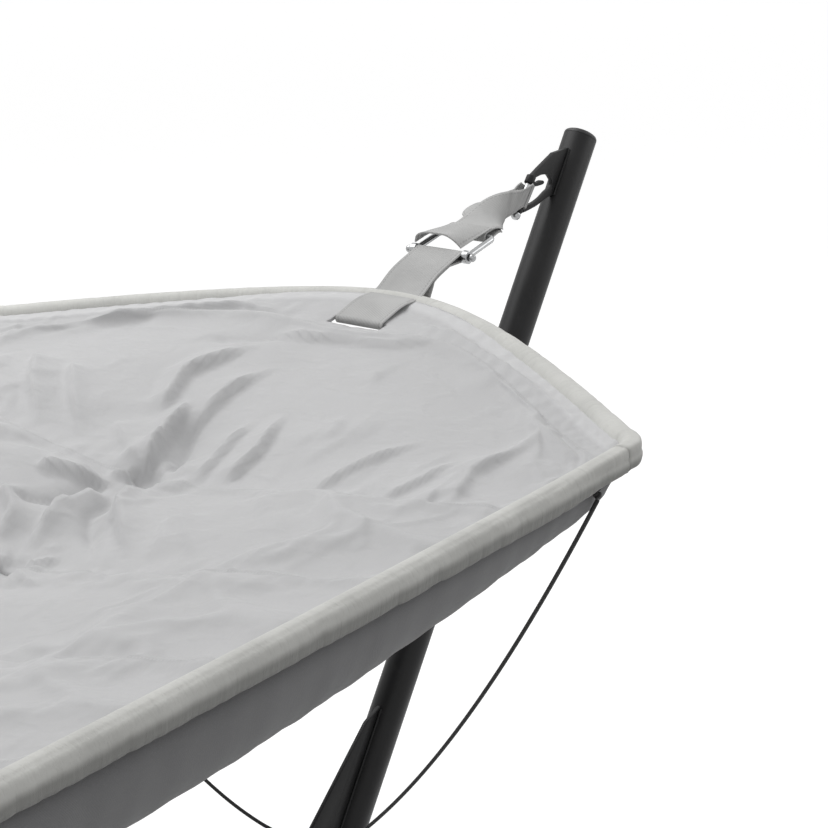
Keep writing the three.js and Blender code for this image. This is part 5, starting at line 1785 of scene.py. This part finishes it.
def weld_bead(name, path, radius):
    """A laid weld: a half round bead with a ripple every few millimetres."""
    run = run_lengths(path)
    ripple = 1.0 + 0.12 * np.sin(run * (2.0 * np.pi / 0.0032)) + 0.05 * np.sin(run * 371.0)
    return tube_piece(name, path, radius * ripple[:, None], 12)


def post_bead(sizes, stand, down, side, radius):
    """The weld between a plate's face and the post, over a stretch down the post."""
    places = np.array([stand.on_post(s, sizes.post_radius - 0.0004) for s in down])
    places[:, 1] = side * (sizes.plate / 2.0 + 0.001)
    return weld_bead("bead", places, radius)


class HAMMOCK_OT_posts(bpy.types.Operator):
    """Makes the leaning posts and their caps"""

    bl_idname = "hammock.posts"
    bl_label = "Posts"

    def execute(self, context):
        sizes = context.scene.hammock_sizes
        stand = StandShape(sizes)
        depth = (sizes.post_top_z - stand.foot_top) / math.cos(sizes.post_lean) + 0.05
        post = self.tube(sizes, stand, depth)
        both_ends(post, "round_post", "black_steel", "stand", ["post_{}"])
        cap = self.cap(sizes, stand)
        both_ends(cap, "post_plug", "black_plastic", "stand", ["post_cap_{}"])
        return {"FINISHED"}

    def tube(self, sizes, stand, depth):
        middle, lean = stand.on_post(depth / 2.0, 0.0), (0.0, sizes.post_lean, 0.0)
        radius, ends = sizes.post_radius, {"end_fill_type": "NOTHING"}
        post = cylinder("round_post", 72, radius, depth, middle, lean, **ends)
        with editing(post):
            bpy.ops.mesh.select_all(action="SELECT")
            bpy.ops.mesh.bisect(
                plane_co=(0.0, 0.0, stand.foot_top + GAP),
                plane_no=(0.0, 0.0, 1.0),
                clear_inner=True,
                use_fill=False,
            )
        apply_modifier(post, "SOLIDIFY", thickness=sizes.post_wall, offset=-1.0)
        round_edges(post, 0.0006, 0.9)
        smooth_by_angle(post, 35.0)
        return post

    def cap(self, sizes, stand):
        height = 0.0066
        turn = (0.0, sizes.post_lean, 0.0)
        middle = stand.on_post(-(height + GAP) / 2.0, 0.0)
        head = cylinder("cap_head", 72, sizes.post_radius, height - GAP, middle, turn)
        lean = Vector((math.sin(sizes.post_lean), 0.0, math.cos(sizes.post_lean)))
        with editing(head):
            crown = Vector(stand.on_post(-height, 0.0))
            pick(head, "FACE", lambda face: face.normal.dot(lean) > 0.9)
            bpy.ops.mesh.bevel(offset=0.0048, segments=6, affect="EDGES")
            pick(head, "VERT", lambda vert: (vert.co - crown).length < sizes.post_radius * 0.9)
            bpy.ops.mesh.inset(thickness=0.006)
            bpy.ops.transform.translate(value=lean * 0.0005)
        inner = sizes.post_radius - sizes.post_wall - GAP
        plug = cylinder("cap_plug", 48, inner, 0.0223, stand.on_post(0.0108, 0.0), turn)
        merge_solids(head, [plug], "UNION")
        smooth_by_angle(head, 35.0)
        return head


class HAMMOCK_OT_hooks(bpy.types.Operator):
    """Makes the welded hook plates: fin, curled finger, limb and the two lugs of the fork"""

    bl_idname = "hammock.hooks"
    bl_label = "Hook plates"

    def execute(self, context):
        sizes = context.scene.hammock_sizes
        stand = StandShape(sizes)
        plate = self.plate(sizes, stand)
        lug_radius, bore_top, bore_low, weld = 0.007, 0.1075, 0.168, 0.0021
        lugs = [self.lug(stand.fork(a), stand.fork(b), lug_radius, 44) for a, b in stand.lugs]
        merge_solids(plate, lugs, "UNION")
        bore = self.lug(stand.fork(bore_top), stand.fork(bore_low), sizes.fork_pin + GAP, 36)
        merge_solids(plate, [bore], "DIFFERENCE")
        round_edges(plate, 0.0007, 0.8)
        smooth_by_angle(plate, 38.0)
        down = np.linspace(0.03, 0.104, 96)
        beads = [post_bead(sizes, stand, down, side, weld) for side in (-1.0, 1.0)]
        hook = join_pieces([plate] + beads, "forged_hook")
        both_ends(hook, "forged_hook", "black_steel", "stand", ["hook_plate_{}"])
        return {"FINISHED"}

    def outline(self, sizes, stand):
        """The plate's edge: fin, finger, opening and limb, as shares of its height and reach."""
        top, drop = 0.028, 0.135
        seat = sizes.post_radius + GAP
        reach = 0.09185 - seat
        fin = [(0.0, 0.0, 1), (0.165, 0.46, 0), (0.215, 0.55, 0), (0.574, 1.04, 0)]
        fin += [(0.652, 1.075, 1)]
        finger_under = [(0.652, 0.94, 1), (0.66, 0.87, 0), (0.62, 0.71, 0), (0.553, 0.52, 0)]
        finger_tip = [(0.531, 0.5, 0), (0.52, 0.52, 0), (0.523, 0.58, 0)]
        finger_top = [(0.545, 0.65, 0), (0.58, 0.73, 0), (0.604, 0.82, 0), (0.596, 0.885, 0)]
        hollow = [(0.572, 0.895, 0), (0.5, 0.74, 0), (0.45, 0.57, 0), (0.424, 0.43, 0)]
        hollow += [(0.43, 0.33, 0), (0.446, 0.22, 0)]
        limb_top = [(0.481, 0.168, 0), (0.526, 0.198, 0), (0.593, 0.31, 0), (0.701, 0.454, 0)]
        limb_top += [(0.806, 0.655, 0), (0.876, 0.84, 0)]
        limb_end = [(0.922, 0.895, 0), (0.96, 0.92, 0), (0.963, 1.0, 1), (1.0, 1.0, 1)]
        limb_end += [(0.985, 0.94, 0), (0.95, 0.84, 0)]
        limb_under = [(0.884, 0.68, 0), (0.793, 0.475, 0), (0.707, 0.321, 0), (0.622, 0.16, 0)]
        limb_under += [(0.57, 0.0, 1)]
        shares = fin + finger_under + finger_tip + finger_top + hollow
        shares += limb_top + limb_end + limb_under
        places = np.array([[top + drop * a, seat + reach * b] for a, b, mark in shares])
        sharp = [bool(mark) for a, b, mark in shares]
        smooth = []
        count = len(places)
        for i in range(count):
            before, here = places[i - 1], places[i]
            after, beyond = places[(i + 1) % count], places[(i + 2) % count]
            if sharp[i]:
                before = here
            if sharp[(i + 1) % count]:
                beyond = after
            steps = 1 if sharp[i] and sharp[(i + 1) % count] else 5
            for t in np.arange(steps) / steps:
                second = (2.0 * before - 5.0 * here + 4.0 * after - beyond) * t**2
                third = (3.0 * here - before - 3.0 * after + beyond) * t**3
                smooth.append(0.5 * (2.0 * here + (after - before) * t + second + third))
        return [stand.on_post(s, h) for s, h in smooth]

    def plate(self, sizes, stand):
        points = [p - np.array([0.0, sizes.plate / 2.0, 0.0]) for p in self.outline(sizes, stand)]
        mesh = bpy.data.meshes.new("plate")
        mesh.from_pydata([p.tolist() for p in points], [], [list(range(len(points)))])
        plate = bpy.data.objects.new("plate", mesh)
        bpy.context.scene.collection.objects.link(plate)
        with editing(plate):
            bpy.ops.mesh.select_all(action="SELECT")
            move = {"value": (0.0, sizes.plate, 0.0)}
            bpy.ops.mesh.extrude_region_move(TRANSFORM_OT_translate=move)
            bpy.ops.mesh.select_all(action="SELECT")
            bpy.ops.mesh.normals_make_consistent(inside=False)
        return plate

    def lug(self, start, stop, radius, sides):
        axis = Vector(stop - start)
        turn = axis.to_track_quat("Z", "Y").to_euler()
        return cylinder("lug", sides, radius, axis.length, (start + stop) / 2.0, turn)


def refined_copy(node, name, width):
    """A copy of a CAD node with merged corners and slightly rounded edges."""
    mesh = frame["nodes"][node].data.copy()
    piece = bpy.data.objects.new(name, mesh)
    bpy.context.scene.collection.objects.link(piece)
    with editing(piece):
        bpy.ops.mesh.select_all(action="SELECT")
        bpy.ops.mesh.remove_doubles(threshold=1e-6)
        bpy.ops.mesh.dissolve_limited(angle_limit=math.radians(1.0))
        bpy.ops.mesh.normals_make_consistent(inside=False)
    round_edges(piece, width, 0.8)
    smooth_by_angle(piece, 38.0)
    return piece


class HAMMOCK_OT_gussets(bpy.types.Operator):
    """Makes the gussets between post and base, with their welds"""

    bl_idname = "hammock.gussets"
    bl_label = "Gussets"

    def execute(self, context):
        sizes = context.scene.hammock_sizes
        stand = StandShape(sizes)
        plate = refined_copy("gusset_a", "gusset_plate", 0.0008)
        beads = []
        weld = 0.0022
        rise = (sizes.post_top_z - stand.foot_top) / math.cos(sizes.post_lean)
        down = np.linspace(0.888, rise + 0.008, 300)
        x = np.linspace(stand.beam_end - 0.14, stand.foot_x - 0.04, 160)
        level = np.full_like(x, stand.foot_top + 0.0007)
        for side in (-1.0, 1.0):
            beads.append(post_bead(sizes, stand, down, side, weld))
            face = np.full_like(x, side * (sizes.plate / 2.0 + 0.001))
            beads.append(weld_bead("bead", np.stack([x, face, level], axis=1), weld))
        piece = join_pieces([plate] + beads, "welded_gusset")
        both_ends(piece, "welded_gusset", "black_steel", "stand", ["gusset_{}"])
        return {"FINISHED"}


class HAMMOCK_OT_base(bpy.types.Operator):
    """Makes the cross feet, the two-part base beam and the rubber foot caps"""

    bl_idname = "hammock.base"
    bl_label = "Base"

    def execute(self, context):
        sizes = context.scene.hammock_sizes
        stand = StandShape(sizes)
        foot_size = (sizes.bar_width, 2.0 * sizes.foot_half, sizes.bar_height)
        foot = self.bar("cross_bar", (stand.foot_x, 0.0, stand.bar_mid), foot_size, 1, sizes)
        both_ends(foot, "cross_bar", "black_steel", "stand", ["cross_foot_{}"])
        half_split = 0.0005
        long = stand.beam_end - half_split
        beam_size = (long, sizes.bar_width, sizes.bar_height)
        centre = (long / 2.0 + half_split, 0.0, stand.bar_mid)
        beam = self.bar("long_bar", centre, beam_size, 0, sizes)
        both_ends(beam, "long_bar", "black_steel", "stand", ["base_beam_{}"])
        for number in range(1, 5):
            node = "foot_cap_{}".format(number)
            cap = refined_copy(node, "rubber_cap_{}".format(number), 0.0012)
            place_piece(cap, "black_rubber", "stand", [node])
        return {"FINISHED"}

    def bar(self, name, centre, size, axis, sizes):
        """A rectangular tube along an axis, with rounded long edges."""

        def direction(edge):
            return (edge.verts[0].co - edge.verts[1].co).normalized()

        bpy.ops.object.select_all(action="DESELECT")
        bpy.ops.mesh.primitive_cube_add(size=1.0, location=centre)
        bar = named(name)
        bar.scale = size
        settle(bar)
        with editing(bar):
            pick(bar, "FACE", lambda face: abs(face.normal[axis]) > 0.9)
            bpy.ops.mesh.delete(type="FACE")
            pick(bar, "EDGE", lambda edge: abs(direction(edge)[axis]) > 0.9)
            bpy.ops.mesh.bevel(offset=0.0034, segments=5, affect="EDGES")
        apply_modifier(bar, "SOLIDIFY", thickness=sizes.bar_wall, offset=-1.0)
        smooth_by_angle(bar, 30.0)
        return bar


class HAMMOCK_OT_fixings(bpy.types.Operator):
    """Makes the bolts, nuts, end plates and the sleeve that join the base"""

    bl_idname = "hammock.fixings"
    bl_label = "Fixings"

    def execute(self, context):
        nodes = ["foot_bolt_{}".format(number) for number in range(1, 5)]
        nodes += ["sleeve_{}_{}".format(kind, end) for kind in ("bolt", "nut") for end in "ab"]
        nodes += ["beam_end_plate_a", "beam_end_plate_b", "beam_sleeve"]
        for node in nodes:
            piece = refined_copy(node, "bright_" + node, 0.0005)
            place_piece(piece, "zinc_steel", "stand", [node])
        return {"FINISHED"}


class HAMMOCK_OT_core(bpy.types.Operator):
    """Gives each node of the frame its finish, which shows on the bows and elbows in the rim"""

    bl_idname = "hammock.core"
    bl_label = "Rim core"

    def execute(self, context):
        slots = {part["node"]: part["material_slot"] for part in frame["record"]["subparts"]}
        for name, node in frame["nodes"].items():
            node.data.materials.clear()
            node.data.materials.append(finish_for(slots[name]))
        return {"FINISHED"}


PIECES = [
    HAMMOCK_OT_stage,
    HAMMOCK_OT_stay_cords,
    HAMMOCK_OT_cord_eyes,
    HAMMOCK_OT_core,
    HAMMOCK_OT_posts,
    HAMMOCK_OT_hooks,
    HAMMOCK_OT_gussets,
    HAMMOCK_OT_base,
    HAMMOCK_OT_fixings,
    HAMMOCK_OT_straps,
    HAMMOCK_OT_shackles,
    HAMMOCK_OT_hook_pins,
    HAMMOCK_OT_rim_sleeves,
    HAMMOCK_OT_underside,
    HAMMOCK_OT_quilted_bed,
]


class HAMMOCK_PT_sidebar(bpy.types.Panel):
    """Lists the hammock's pieces, sizes and colours"""

    bl_idname = "HAMMOCK_PT_sidebar"
    bl_label = "Hammock"
    bl_space_type = "VIEW_3D"
    bl_region_type = "UI"
    bl_category = "Hammock"

    def draw(self, context):
        for piece in PIECES:
            self.layout.operator(piece.bl_idname)
        for group in (context.scene.hammock_sizes, context.scene.hammock_colours):
            for name in type(group).__annotations__:
                self.layout.prop(group, name)


CLASSES = [HammockSizes, HammockColours] + PIECES + [HAMMOCK_PT_sidebar]


def register():
    for kind in CLASSES:
        bpy.utils.register_class(kind)
    bpy.types.Scene.hammock_sizes = bpy.props.PointerProperty(type=HammockSizes)
    bpy.types.Scene.hammock_colours = bpy.props.PointerProperty(type=HammockColours)


def unregister():
    del bpy.types.Scene.hammock_colours
    del bpy.types.Scene.hammock_sizes
    for kind in reversed(CLASSES):
        bpy.utils.unregister_class(kind)


def main():
    register()
    for piece in PIECES:
        group, name = piece.bl_idname.split(".")
        getattr(getattr(bpy.ops, group), name)()


if __name__ == "__main__":
    main()
